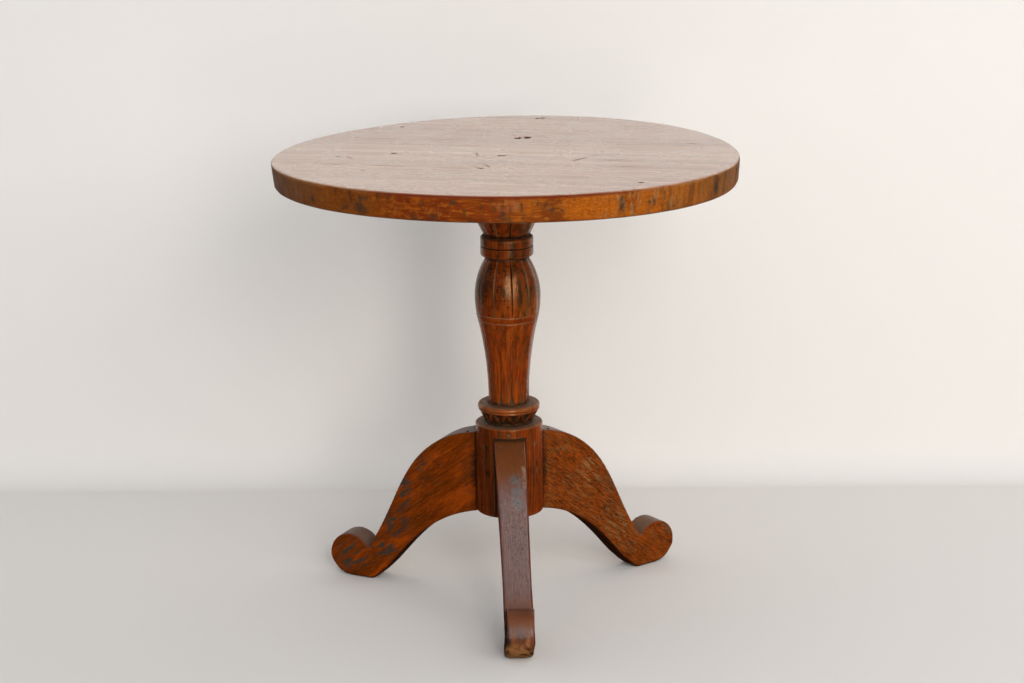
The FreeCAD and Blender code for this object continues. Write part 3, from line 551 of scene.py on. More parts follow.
def turned_finish():
    """Turned teak under old red varnish: dirt in its cuts, dust on ledges, arrises rubbed to pale wood,
    painted shade on left sides and under ledges, and a painted highlight on the ring's bead.
    """
    material, tree, place = new_material("varnished_teak_turned")
    wood = wood_space(tree, place, (0, math.radians(90), 0), (0.0, 0.016, 0.027))
    side, front, level = add(tree, "ShaderNodeSeparateXYZ", {0: place}).outputs
    paint, height = grained(tree, wood, "#863401", "#672101", "#320e02", 4.2, 0.34)
    cloud = figure(tree, place, 34, 34)
    thread = figure(tree, wood, 90, 2.2)
    vein = figure(tree, wood, 46, 1.5, 2.0)
    streak = figure(tree, wood, 130, 7)
    smear = figure(tree, wood, 40, 7, 4.0)
    tick = figure(tree, place, 6, 6, 2.0, height=2.4)
    speck = figure(tree, place, 5, 5, 4.0)
    lower = where(tree, (level, 0.396, 0.388))
    upper = where(tree, (level, 0.4, 0.404))
    # Painted shade: dark patches on the vase's left side and under the collar at the front
    painted_shade_patches = marks(tree, frayed(tree, place, 30, 20), [
        ((-34, -24, 444), (30, 30, 44)), ((16, -40, 470), (14, 14, 12)),
    ], 0.2)
    film_and_painted_shade = add(tree, "ShaderNodeMath", {
        0: where(tree, (smear, 0.47, 0.62)), 1: painted_shade_patches,
    }, operation="MAXIMUM")
    # Share of a lobe's width from the nearest flute
    turn = add(tree, "ShaderNodeMath", {0: front, 1: side}, operation="ARCTAN2")
    lobe = add(tree, "ShaderNodeMath", {
        0: turn, 1: FLUTES / math.tau, 2: 0.5 - FIRST_FLUTE * FLUTES / math.tau,
    }, operation="MULTIPLY_ADD")
    lobe = add(tree, "ShaderNodeMath", {0: lobe}, operation="FRACT")
    lobe = add(tree, "ShaderNodeMath", {0: lobe, 1: 0.5}, operation="SUBTRACT")
    lobe = add(tree, "ShaderNodeMath", {0: lobe}, operation="ABSOLUTE")
    chip = marks(tree, frayed(tree, place, 5, 9), [
        ((35, -28, 227), (3, 3, 8)), ((36, -26, 188), (3.4, 3.4, 8)), ((37, -25, 206), (2, 2, 5)),
        ((-33, -31, 223), (3, 3, 5)), ((-36, -27, 201), (3, 3, 4)), ((0, -45, 243), (4, 4, 2.4)),
    ], 0.4)
    bruise = marks(tree, frayed(tree, place, 8, 9), [
        ((-29, -34, 187), (8, 8, 7)), ((-30, -33, 222), (5, 5, 7)), ((14, -41, 452), (3, 4, 6)),
    ], 0.2)
    worn, hollow, dusty = [
        add(tree, "ShaderNodeAttribute", attribute_name=name).outputs["Fac"]
        for name in ("worn", "hollow", "dust")
    ]
    facing = add(tree, "ShaderNodeNewGeometry").outputs["Normal"]
    facing = add(tree, "ShaderNodeSeparateXYZ", {0: facing}).outputs["Z"]
    ledge = where(tree, (facing, 0.75, 0.97), (speck, 0.28, 0.62))
    paint = layers(tree, paint, [
        # Uneven varnish: darker where it is thick, more orange where it is thin
        ("#401502", (cloud, 0.5, 0.7), 0.5),
        ("#924201", (cloud, 0.46, 0.3), 0.4),
        ("#280d02", (thread, 0.57, 0.68), 0.7),
        ("#9e4001", (thread, 0.42, 0.32), 0.45),
        # Stem and drum: fine grey-green and red lines along the grain
        ("#3a2004", lower, (streak, 0.52, 0.64), 0.6),
        ("#a44601", lower, (streak, 0.46, 0.36), 0.45),
        ("#463c22", lower, (vein, 0.56, 0.66), 0.6),
        ("#a23a06", lower, (vein, 0.45, 0.34), 0.4),
        # Vase and collar have been handled most: a dark film in streaks, greenish on the right, and painted
        # shade in patches on the vase's left side and under the collar at the front
        ("#a04a02", upper, (level, 0.438, 0.412), (side, -0.014, 0.004), (cloud, 0.3, 0.55), 0.5),
        ("#241405", upper, film_and_painted_shade, 0.8),
        ("#453c20", upper, (side, 0.008, 0.022), (thread, 0.48, 0.58), 0.5),
        # Columns of short dark ticks along the left lobes of the vase, left by the carver's tool
        (
            "#100703", upper, (level, 0.479, 0.474), (side, 0.016, 0.01), (lobe, 0.08, 0.2),
            (tick, 0.54, 0.6), (cloud, 0.34, 0.46), 0.85,
        ),
        # The drum has grey chips and a dark bruise, and its left side is darkened as painted shade
        ("#5c5640", chip, (vein, 0.66, 0.5), 0.75),
        ("#140a06", bruise, 0.7),
        ("#2c0e03", (level, 0.252, 0.248), (side, 0.0, -0.03), 0.4),
        # Rubbed arrises with a painted highlight along the ring's bead, dirt in the cuts with painted shade
        # in the corners under ledges and in the leg housings, and dust in the cuts and on the ledges
        ("#a8663a", worn, (cloud, 0.35, 0.55), 0.6),
        ("#120804", (hollow, 0.12, 0.75), 0.92),
        ("#80765a", (dusty, 0.1, 0.8), 0.62),
        ("#6a5c48", ledge, 0.9),
    ])
    dull = add(tree, "ShaderNodeMath", {0: ledge, 1: hollow}, operation="MAXIMUM")
    dull = add(tree, "ShaderNodeMath", {0: dull, 1: dusty}, operation="MAXIMUM")
    coat(tree, paint, dull, (0.26, 0.75), crazed(tree, place, 5.5, 0.3, height), 0.25, 0.68)
    return material


def leg_finish(side, look):
    """Sawn teak plank under old varnish that has darkened, and flaked in grey patches along the grain."""
    material, tree, place = new_material("varnished_teak_leg_" + side)
    spin = Matrix.Rotation(math.radians(look["slope"]), 3, "Y") @ Matrix.Rotation(-LEG_TURNS[side], 3, "Z")
    wood = wood_space(tree, place, spin.to_euler(), look["shift"])
    level = add(tree, "ShaderNodeSeparateXYZ", {0: place}).outputs["Z"]
    shades = [look[name] for name in ("pale", "middle", "dark", "ring", "contrast")]
    paint, height = grained(tree, wood, *shades)
    cloud = figure(tree, place, 42, 42)
    blotch = figure(tree, wood, 75, 17, 4.0)
    # Short curled flecks of the grain, bright and dark, and the chips where varnish has come off
    curled = frayed(tree, wood, 24, 7)
    fleck = figure(tree, curled, 13, 1.3, 2.0)
    nick = figure(tree, curled, 12, 1.4, 2.0)
    chip = figure(tree, frayed(tree, wood, 9, 5), *look["flake"], 4.0)
    crowd = add(tree, "ShaderNodeMath", {
        0: marks(tree, frayed(tree, place, 22, 20), look["crowds"], 0.3),
        1: where(tree, (cloud, *look["cluster"]), look["scattered"]),
    }, operation="MAXIMUM")
    flake = where(tree, (chip, *look["flake_edge"]), crowd, look["flaked"])
    facing = add(tree, "ShaderNodeNewGeometry").outputs["Normal"]
    facing = add(tree, "ShaderNodeSeparateXYZ", {0: facing}).outputs["Z"]
    worn, hollow = [
        add(tree, "ShaderNodeAttribute", attribute_name=name).outputs["Fac"] for name in ("worn", "hollow")
    ]
    paint = layers(tree, paint, [
        (look["warm"], (blotch, 0.5, 0.66), 0.75),
        (look["shade"], (blotch, 0.48, 0.34), look["shaded"]),
        (look["shade"], (cloud, 0.52, 0.7), look["shaded"]),
        (look["fleck"], (fleck, 0.53, 0.6), look["flecked"]),
        (look["dark"], (nick, 0.45, 0.38), look["flecked"]),
        (look["grey"], flake),
        # Upper faces are dulled by dust and hands, downward faces are darkened as painted shade, the front
        # leg's lower slope gets a painted purple-grey sheen of reflected sky, and arrises are rubbed
        (look["top"], (facing, 0.25, 0.75), look["topped"]),
        (look["sheen_painted_colour"], (level, 0.205, 0.165), (level, 0.05, 0.07), look["sheen_painted_strength"]),
        ("#170803", (facing, -0.1, -0.6), 0.8),
        (look["arris"], worn, (cloud, 0.3, 0.5), 0.7),
    ])
    ragged = frayed(tree, place, 7, 8)
    blot = figure(tree, place, 10, 10, 4.0)
    speck = figure(tree, place, 4, 4)
    for code, strength, soft, places in look["spots"]:
        spot = where(tree, marks(tree, ragged, places, soft), (blot, 0.36, 0.48))
        paint = lay(tree, paint, code, spot, strength)
        paint = lay(tree, paint, "#1c1a1a", spot, (speck, 0.54, 0.62), 0.7 * strength)
    # Dirt and painted shade darken the hollow of the scroll; the joint beside the drum is dark too
    paint = lay(tree, paint, "#120804", (hollow, 0.1, 0.8), 0.9)
    dull = add(tree, "ShaderNodeMath", {0: flake, 1: hollow}, operation="MAXIMUM")
    relief = crazed(tree, place, 7, look["crazing"], height)
    coat(tree, paint, dull, (0.34, 0.6), relief, 0.35, look["shine"], tint=look["tint"])
    return material


# Pits in the top: place, half length along the grain, half width, depth
TOP_PITS = [
    (15, 113, 3.8, 6.5, 2.0), (27, 117, 5.0, 7.5, 2.4), (-5.5, -24.5, 5.6, 2.6, 1.0), (-146, 0, 4, 2.6, 0.8),
    (-218, -18, 2.8, 2.4, 0.8), (-28.5, -117, 3.4, 2, 0.6), (-176, -121, 2, 2, 0.5), (40, 283, 2.4, 3, 0.6),
    (48, 285, 3.4, 4, 0.8), (167, -223, 3.4, 2.6, 0.7), (-148, 217, 2, 3, 0.5),
]
# Scratched lines in the top: place, half length, half width and direction in degrees
TOP_LINES = [
    (-274, -65, 30, 1.8, -12.5), (-221, -76.5, 32, 2.0, -11.5), (-148, -92, 50, 1.7, -12.3),
    (-66, -111.5, 42, 1.7, -14.4), (139, -65, 27, 2.0, -8.4), (152, -111, 24, 1.8, -7.9),
    (246, 54, 16, 1.8, -24.0), (95, -57, 29, 2.2, 56.3), (115, -28, 11, 1.4, 47.0),
    (8, -20, 11, 1.4, 32.0), (23, -7, 14, 1.4, 48.0), (-21, -99, 20, 2.0, -73.0),
    (-35, -104, 18, 1.8, -55.6), (-36, -14, 20, 1.2, -85.5), (-202, -28, 15, 1.6, -62.6),
    (-60, 60, 44, 1.4, -12.0),
]
# Dark stains on the rim: place and half sizes
RIM_STAINS = [
    ((-234, -194, 593), (9, 9, 7)), ((-189, -234, 590), (9, 9, 6)), ((-165, -252, 604), (12, 12, 6)),
    ((-170, -248, 592), (20, 12, 12)), ((-94, -284, 604), (5, 8, 8)), ((-82, -287, 587), (6, 8, 6)),
    ((-56, -294, 605), (9, 8, 4)), ((-1, -300, 591), (7, 8, 9)), ((44, -300, 605), (5, 8, 7)),
    ((58, -299, 598), (7, 8, 5)), ((73, -296, 596), (4, 8, 6)), ((142, -273, 597), (8, 12, 14)),
    ((179, -253, 599), (5, 8, 10)), ((262, -168, 598), (5, 8, 12)),
]


def top_face(tree, place, wood):
    """Worn face of the top: its colour, its height, and the masks of its lines and its pits."""
    side, front, _ = add(tree, "ShaderNodeSeparateXYZ", {0: place}).outputs
    face, height = grained(tree, wood, "#c99b7b", "#b7876a", "#8a5d44", 6.5, 0.22)
    broad = figure(tree, wood, 1100, 34, 2.0)
    wide = figure(tree, wood, 620, 8)
    hair = figure(tree, wood, 260, 2.4)
    scuff = figure(tree, wood, 34, 1.6, 2.0)
    line = marks(tree, frayed(tree, place, 30, 5), [
        ((x, y, BOARD_TOP), (length, width, 9), turn) for x, y, length, width, turn in TOP_LINES
    ], 0.3)
    pit = marks(tree, frayed(tree, place, 6, 11), [
        ((x, y, BOARD_TOP), (length + 1, width + 1, 12), math.degrees(TOP_TURN))
        for x, y, length, width, _ in TOP_PITS
    ], 0.75)
    dim = marks(tree, frayed(tree, place, 40, 50), [
        ((246, 51, BOARD_TOP), (36, 22, 40), -12),
        ((-20, -70, BOARD_TOP), (70, 26, 40), -12),
        ((140, -30, BOARD_TOP), (50, 16, 40), -12),
    ], 0.2)
    face = layers(tree, face, [
        # Broad and narrow stripes of the grain
        ("#d2ad93", (broad, 0.5, 0.68), 0.7),
        ("#98694f", (broad, 0.5, 0.34), 0.6),
        ("#d6b299", (wide, 0.52, 0.68), 0.6),
        ("#8a5b42", (wide, 0.47, 0.32), 0.65),
        ("#70452f", (hair, 0.6, 0.72), 0.65),
        # Fine dark scratches along the grain, lines, pits painted near black as dirt and painted shade in
        # their hollows, and dim patches
        ("#4a2c1c", (scuff, 0.68, 0.74), 0.45),
        ("#4e2a18", line, 0.75),
        ("#080503", pit),
        ("#6e4c38", dim, 0.35),
        # The top is a little darker and warmer to the back and the right, and a painted sheen lightens the
        # front left
        ("#8a543a", (front, -0.05, 0.2), 0.22),
        ("#8a543a", (side, 0.02, 0.2), 0.22),
        ("#dcbca4", (side, 0.16, 0.02), (front, 0.14, 0.0), 0.16),
    ])
    return face, height, line, pit


def top_rim(tree, place, wood, cloud):
    """Orange varnish on the rim, with red streaks along it and dark greenish stains that run down it."""
    side = add(tree, "ShaderNodeSeparateXYZ", {0: place}).outputs["X"]
    edge, _ = grained(tree, wood, "#a5590e", "#87400a", "#4e230a", 6.5, 0.3)
    smear = figure(tree, place, 50, 4.5)
    run = figure(tree, place, 7, 7, 5.0, height=24)
    rub = figure(tree, place, 30, 1.6, 2.0)
    upright = figure(tree, place, 9, 9, 5.0, height=70)
    scrape = figure(tree, place, 4, 4, 4.0, height=18)
    painted_sheen_patch = marks(tree, frayed(tree, place, 12, 14), [((8, -300, 603), (26, 12, 10))], 0.3)
    stain = marks(tree, frayed(tree, place, 8, 14), RIM_STAINS, 0.1)
    return layers(tree, edge, [
        # Redder and darker left of the middle, with streaks along the rim
        ("#5c250a", (cloud, 0.5, 0.64), 0.75),
        ("#6a2405", (side, -0.2, -0.1), (side, 0.07, -0.03), 0.65),
        ("#5a1b06", (smear, 0.46, 0.6), (side, -0.17, -0.1), (side, 0.03, -0.04), 0.7),
        ("#b05e14", (smear, 0.47, 0.36), 0.3),
        ("#c07a2c", (rub, 0.6, 0.72), 0.45),
        ("#33301e", (run, 0.52, 0.64), (cloud, 0.38, 0.55), 0.65),
        # Dull olive end grain in upright streaks on the right, with pale scrapes
        ("#6b4a24", (side, 0.17, 0.27), (run, 0.3, 0.6), 0.85),
        ("#3c260f", (side, 0.1, 0.24), (upright, 0.5, 0.62), 0.5),
        ("#96591a", (side, 0.1, 0.24), (upright, 0.47, 0.36), 0.45),
        ("#8e744c", (side, 0.1, 0.13), (side, 0.23, 0.19), (scrape, 0.48, 0.7), 0.5),
        # A painted sheen patch at the middle, painted shade that darkens the rim towards the left, dull
        # grey-brown at the left end, and the stains
        ("#9a643c", painted_sheen_patch, (run, 0.62, 0.42), 0.5),
        ("#3f200a", (side, -0.08, -0.2), 0.45),
        ("#6c4c34", (side, -0.2, -0.27), (run, 0.62, 0.4), 0.7),
        ("#2c2b20", stain, (run, 0.28, 0.52), 0.85),
        ("#8a7048", (run, 0.38, 0.3), 0.2),
    ])


def top_finish():
    """Old teak boards: varnish worn thin and pale on the top, still thick, orange and stained on the rim."""
    material, tree, place = new_material("waxed_teak_top")
    turned = wood_space(tree, place, (0, 0, -TOP_TURN), (0.0, 0.0, 0.0))
    along, over, up = add(tree, "ShaderNodeSeparateXYZ", {0: turned}).outputs
    # Each board has its own heart, some way above its face, and its own stretch of the tree
    heart = add(tree, "ShaderNodeMath", {0: over, 1: SEAM * MM, 2: -SEAM * MM}, operation="WRAP")
    number = add(tree, "ShaderNodeMath", {0: over, 1: heart}, operation="SUBTRACT")
    along = add(tree, "ShaderNodeMath", {0: number, 1: 3.7, 2: along}, operation="MULTIPLY_ADD")
    heart = add(tree, "ShaderNodeMath", {0: heart, 1: 0.031}, operation="ADD")
    up = add(tree, "ShaderNodeMath", {0: up, 1: 0.69}, operation="SUBTRACT")
    wood = add(tree, "ShaderNodeCombineXYZ", {0: along, 1: heart, 2: up})
    side, front, level = add(tree, "ShaderNodeSeparateXYZ", {0: place}).outputs
    reach = add(tree, "ShaderNodeCombineXYZ", {0: side, 1: front})
    reach = add(tree, "ShaderNodeVectorMath", {0: reach}, operation="LENGTH").outputs["Value"]
    face, height, line, pit = top_face(tree, place, wood)
    cloud = figure(tree, place, 46, 46, 4.0)
    edge = top_rim(tree, place, wood, cloud)
    flat = add(tree, "ShaderNodeMath", {
        0: where(tree, (reach, 0.285, 0.28), (level, 0.6, 0.605)), 1: where(tree, (level, 0.6128, 0.6146)),
    }, operation="MAXIMUM").outputs[0]
    paint = add(tree, "ShaderNodeMix", {0: flat, 6: edge, 7: face}, data_type="RGBA").outputs[2]
    # The arris is rubbed pale, but keeps a dark red line of varnish along the front
    arris = where(tree, (level, 0.6095, 0.6125), (level, 0.6149, 0.6138), (reach, 0.28, 0.285))
    paint = layers(tree, paint, [
        ("#96683c", arris, (cloud, 0.6, 0.4), 0.45),
        ("#641c06", arris, (side, -0.22, -0.1), (side, 0.2, 0.1), 0.85),
        ("#5e4630", (level, 0.5835, 0.5815), 0.6),
    ])
    dents = add(tree, "ShaderNodeMath", {0: pit, 1: -3.0, 2: height}, operation="MULTIPLY_ADD")
    dents = add(tree, "ShaderNodeMath", {0: line, 1: -1.2, 2: dents}, operation="MULTIPLY_ADD")
    holes = add(tree, "ShaderNodeMath", {0: pit, 1: where(tree, line, 0.8)}, operation="MAXIMUM").outputs[0]
    patch = figure(tree, place, 70, 70)
    dull = holes
    for floor in (where(tree, (flat, 1.0, 0.0), 0.49), where(tree, (patch, 0.35, 0.65), 0.13)):
        dull = add(tree, "ShaderNodeMath", {0: dull, 1: floor}, operation="MAXIMUM")
    wax = where(tree, flat, (holes, 0.6, 0.1), 0.95)
    coat(tree, paint, dull, (0.22, 1.0), dents, 0.3, 0.12, wax)
    return material


def bare_wood(name, pale, middle, dark, turn, shift):
    """Wood without a finish, as it came from the plane or the knife."""
    material, tree, place = new_material(name)
    wood = wood_space(tree, place, turn, shift)
    paint, height = grained(tree, wood, pale, middle, dark, 5.5, 0.6)
    cloud = figure(tree, place, 55, 55, 4.0)
    paint = lay(tree, paint, dark, (cloud, 0.5, 0.75), 0.6)
    coat(tree, paint, cloud, (0.6, 0.8), height, 0.4, 0.4)
    return material


def old_metal(name, bright, dull, rust, rough, filler):
    """Old metal: dull, with patches of rust, bare spots where it was struck, and filler over some heads."""
    material, tree, place = new_material(name)
    fine = figure(tree, place, 1.5, 1.5, 4.0)
    broad = figure(tree, place, 7, 7)
    paint = lay(tree, colour(dull), bright, (fine, 0.5, 0.7))
    rusted = where(tree, (broad, 0.45, 0.62))
    paint = lay(tree, paint, rust, rusted)
    stopped = add(tree, "ShaderNodeAttribute", attribute_name="stopped").outputs["Fac"]
    paint = lay(tree, paint, filler, stopped)
    relief = add(tree, "ShaderNodeBump", {"Height": fine, "Distance": 0.15 * MM, "Strength": 0.7})
    grain = add(tree, "ShaderNodeMapRange", {"Value": rusted, "To Min": rough, "To Max": 0.85})
    shader = add(tree, "ShaderNodeBsdfPrincipled", {
        "Base Color": paint, "Roughness": grain, "Normal": relief,
        "Metallic": where(tree, (rusted, 1.15, 0.0), (stopped, 1.0, 0.0)),
    })
    add(tree, "ShaderNodeOutputMaterial", {"Surface": shader})
    return material


# Each leg's own look; a spot is a colour, a strength, how soft its edge is and its places
LEG_LOOKS = {
    "front": {
        "slope": -58.0, "shift": (0.0, 0.01, 0.04), "ring": 5.0, "contrast": 0.3,
        "pale": "#6c3a1c", "middle": "#5a2c14", "dark": "#30170c",
        "warm": "#7a421c", "shade": "#43261c", "shaded": 0.5, "fleck": "#8a4a22", "flecked": 0.12,
        "grey": "#57504f", "flake": (40, 9), "flake_edge": (0.55, 0.62), "flaked": 0.5,
        "cluster": (0.5, 0.62), "scattered": 0.35,
        "crowds": [((14, -177, 57), (14, 12, 14)), ((14, -244, 38), (24, 20, 24))],
        "sheen_painted_colour": "#4f3635", "sheen_painted_strength": 0.55, "top": "#74431f", "topped": 0.6, "arris": "#6e220a",
        "spots": [
            ("#575655", 0.72, 0.3, [
                ((10, -101, 200), (12, 22, 13)), ((12, -110, 188), (11, 22, 13)),
                ((12, -116, 176), (9, 22, 17)),
            ]),
            ("#8c7863", 0.85, 0.4, [((22, -104, 199), (4, 12, 16)), ((20, -96, 212), (3, 10, 8))]),
            # A dark knot, and a painted shadow across the leg's top at the mouth of its housing
            ("#1a0d06", 0.75, 0.1, [((17, -143, 119), (3, 5, 6)), ((6, -52, 236), (22, 5, 4))]),
            # Painted shade: a dark strip stands for the shaded left side of the scroll
            ("#120905", 0.95, 0.4, [((-3, -250, 36), (9, 60, 26))]),
            # Painted light: a pale patch lightens the lowest part of the foot, where it is shaded
            ("#9c6a3a", 0.7, 0.5, [((13, -238, 6), (30, 30, 29))]),
            ("#a06238", 0.6, 0.3, [((25, -244, 30), (4, 10, 14)), ((14, -246, 12), (13, 9, 4))]),
        ],
        "shine": 0.44, "tint": "#ffffff", "crazing": 0.1,
    },
    "right": {
        "slope": -37.0, "shift": (0.0, 0.02, 0.03), "ring": 4.0, "contrast": 0.2,
        "pale": "#743a0a", "middle": "#5a2805", "dark": "#341203",
        "warm": "#863e06", "shade": "#4c2005", "shaded": 0.5, "fleck": "#9c3e08", "flecked": 0.75,
        "grey": "#84673f", "flake": (24, 1.8), "flake_edge": (0.52, 0.56), "flaked": 0.7,
        "cluster": (0.34, 0.6), "scattered": 0.45,
        "crowds": [((110, 56, 161), (26, 26, 40)), ((150, 85, 70), (40, 40, 36))],
        "sheen_painted_colour": "#4e342e", "sheen_painted_strength": 0.0, "top": "#6f5743", "topped": 0.75, "arris": "#7e2606",
        "spots": [
            ("#4a3c2c", 0.75, 0.3, [((124, 66, 150), (3, 3, 9))]),
            ("#1a0d06", 0.75, 0.1, [((130, 71, 102), (3.5, 3.5, 5)), ((46, 10, 180), (8, 8, 70))]),
        ],
        "shine": 0.16, "tint": VARNISH_TINT, "crazing": 0.3,
    },
    "left": {
        "slope": -37.0, "shift": (0.0, 0.015, 0.05), "ring": 6.0, "contrast": 0.35,
        "pale": "#7a3200", "middle": "#602400", "dark": "#2b1001",
        "warm": "#9a3e00", "shade": "#3a2003", "shaded": 0.55, "fleck": "#a04a04", "flecked": 0.3,
        "grey": "#35322b", "flake": (20, 4.4), "flake_edge": (0.5, 0.512), "flaked": 1.0,
        "cluster": (0.48, 0.58), "scattered": 0.14,
        "crowds": [
            ((-124, 34, 183), (14, 14, 16)), ((-148, 45, 135), (18, 18, 36)), ((-158, 50, 88), (28, 26, 26)),
            ((-225, 80, 30), (34, 34, 30)), ((-180, 60, 50), (30, 30, 20)),
        ],
        "sheen_painted_colour": "#4e342e", "sheen_painted_strength": 0.0, "top": "#5e4a40", "topped": 0.85, "arris": "#6e300c",
        "spots": [
            ("#241a12", 0.75, 0.3, [((-97, 22, 181), (3, 3, 3))]),
            ("#1a0d06", 0.75, 0.1, [((-46, 0, 185), (10, 12, 60))]),
        ],
        "shine": 0.16, "tint": VARNISH_TINT, "crazing": 0.3,
    },
}
top_teak = top_finish()
turned_teak = turned_finish()
leg_teaks = {side: leg_finish(side, look) for side, look in LEG_LOOKS.items()}
bearer_teak = bare_wood(
    "planed_teak_bearer", "#96714a", "#7d5734", "#4f3420",
    (0, 0, math.radians(-90) - TOP_TURN), (0, 0.02, 0.05),
)
dowel_wood = bare_wood(
    "split_hardwood_pegs", "#b89568", "#a27d50", "#76552f",
    (0, math.radians(90), 0), (0, 0.01, 0.02),
)
screw_steel = old_metal("dull_slotted_steel", "#9a948a", "#6e6a64", "#5a3a24", 0.4, "#6a3c1c")
nail_iron = old_metal("hammered_iron", "#4a4642", "#262422", "#3a2418", 0.5, "#643818")


# Column: the vase is one arc above its belly and two tangent arcs below it
def vase_radius(level):
    """Radius of the stem and the vase at a level."""
    rise = BELLY - STEM_LEVEL
    swell = BELLY_RADIUS - STEM_RADIUS
    both = (rise**2 + swell**2) / (2 * swell)
    belly_curve = BELLY_SHARE * both
    stem_curve = both - belly_curve
    if level <= STEM_LEVEL:
        return STEM_RADIUS
    if level <= BELLY - BELLY_SHARE * rise:
        return STEM_RADIUS + stem_curve - math.sqrt(stem_curve**2 - (level - STEM_LEVEL) ** 2)
    if level <= BELLY:
        return BELLY_RADIUS - belly_curve + math.sqrt(belly_curve**2 - (BELLY - level) ** 2)
    fall = VASE_TOP - BELLY
    shrink = BELLY_RADIUS - VASE_NECK_RADIUS
    shoulder = (fall**2 + shrink**2) / (2 * shrink)
    return BELLY_RADIUS - shoulder + math.sqrt(shoulder**2 - (level - BELLY) ** 2)


def quarter(centre, radius, start, steps):
    """Quarter of a circle, turning left from a start angle in degrees, ends left out."""
    angles = [math.radians(start + 90 * i / steps) for i in range(1, steps)]
    return [(centre[0] + radius * math.cos(a), centre[1] + radius * math.sin(a)) for a in angles]


def levels_between(low, high, lines):
    """Levels at the lathe's step, with finer ones about each cut line."""
    found = set(np.round(np.linspace(low, high, round((high - low) / LATHE_STEP) + 1), 3))
    for line in lines:
        found = {f for f in found if abs(f - line) > LATHE_STEP}
        found |= {line + offset for offset in (-1.5, -1.1, -0.7, -0.3, 0.0, 0.3, 0.7, 1.1, 1.5)}
    return sorted(found)


def line_depth(level, lines):
    """Depth of a fine ring cut at a level, if there is one."""
    return max(CUT_LINE_DEPTH * max(0.0, 1.0 - abs(level - line) / CUT_LINE_HALF) for line in lines)


def column_outline():
    """Half the column's outline, from the lower tenon's end to the upper tenon's end."""
    rings = (LOWER_LINE, UPPER_LINE)
    middle = ((COLLAR_BOTTOM + COLLAR_TOP) / 2,)
    corner = COLLAR_RADIUS - COLLAR_ROUND
    foot = FOOT_TENON_RADIUS
    head = HEAD_TENON_RADIUS
    lip = NECK_TOP_RADIUS
    outline = [(r, DRUM_BOTTOM) for r in (0, (foot - 1) / 2, foot - 1)]
    outline += [(foot, z) for z in (DRUM_BOTTOM + 1, 160, 200, 240, RING_TOP)]
    outline += [(21, RING_TOP), (STEM_RADIUS - 0.6, RING_TOP), (STEM_RADIUS, RING_TOP + 0.6)]
    for level in levels_between(RING_TOP + LATHE_STEP, VASE_TOP, rings):
        outline.append((vase_radius(level) - line_depth(level, rings), level))
    outline += [(VASE_NECK_RADIUS, COLLAR_BOTTOM), (corner, COLLAR_BOTTOM)]
    outline += quarter((corner, COLLAR_BOTTOM + COLLAR_ROUND), COLLAR_ROUND, -90, 6)
    for level in levels_between(COLLAR_BOTTOM + COLLAR_ROUND, COLLAR_TOP - COLLAR_ROUND, middle):
        outline.append((COLLAR_RADIUS - line_depth(level, middle), level))
    outline += quarter((corner, COLLAR_TOP - COLLAR_ROUND), COLLAR_ROUND, 0, 6)
    outline += [(corner, COLLAR_TOP), (NECK_LOW_RADIUS, COLLAR_TOP)]
    for share in np.linspace(0.03, 1.0, 26):
        level = COLLAR_TOP + (NECK_TOP - NECK_LIP - COLLAR_TOP) * share
        outline.append((NECK_LOW_RADIUS + (lip - NECK_LOW_RADIUS) * share, level))
    outline += [(lip, NECK_TOP - depth) for depth in (6, 3, 0.6)]
    outline += [(r, NECK_TOP) for r in (lip - 0.6, 40, head)]
    outline += [(head, z) for z in (565, 575, HEAD_TENON_TOP - 1)]
    outline += [(r, HEAD_TENON_TOP) for r in (head - 1, head / 2, 0)]
    return outline


lathe = lathe_tree()
flutes = flute_tree()
notches = notch_tree()


def turn_wood(name, outline, values):
    """Turned piece, before its carving."""
    points = [(r, 0, z) for r, z in outline]
    edges = [(i, i + 1) for i in range(len(points) - 1)]
    piece = new_piece(name, points, [], edges)
    use_tree(piece, lathe, values)
    return piece


column_cuts = {"Cuts around": FLUTES, "First cut": FIRST_FLUTE, "Material": turned_teak}
column = turn_wood("fluted_column", column_outline(), {
    "Steps around": FLUTES * STEPS_PER_CUT, "Crowding": 0.72, **column_cuts,
})
# Flutes of the vase and of the neck, and the faint facets of the stem: width, depth, rounding, both ends
for width, depth, rounding, low, high in (
    (2.2, 1.6, 0.6, UPPER_LINE - 0.5, COLLAR_BOTTOM - 1),
    (2.6, 2.0, 0.5, COLLAR_TOP - 3, NECK_TOP - 4),
    (1.0, 0.0, 0.35, RING_TOP + 2, LOWER_LINE - 2),
):
    use_tree(column, flutes, {
        "Width": width * MM, "Depth": depth * MM, "Rounding": rounding * MM,
        "Low end": low * MM, "High end": high * MM, **column_cuts,
    })
use_tree(column, notches, {
    "Half width": 3.6 * MM, "Base level": LEAF_BASE * MM, "Tip level": LEAF_TIP * MM,
    "Depth": 1.6 * MM, "Slope": 0.9, **column_cuts,
})
settle(column)
seal(column)


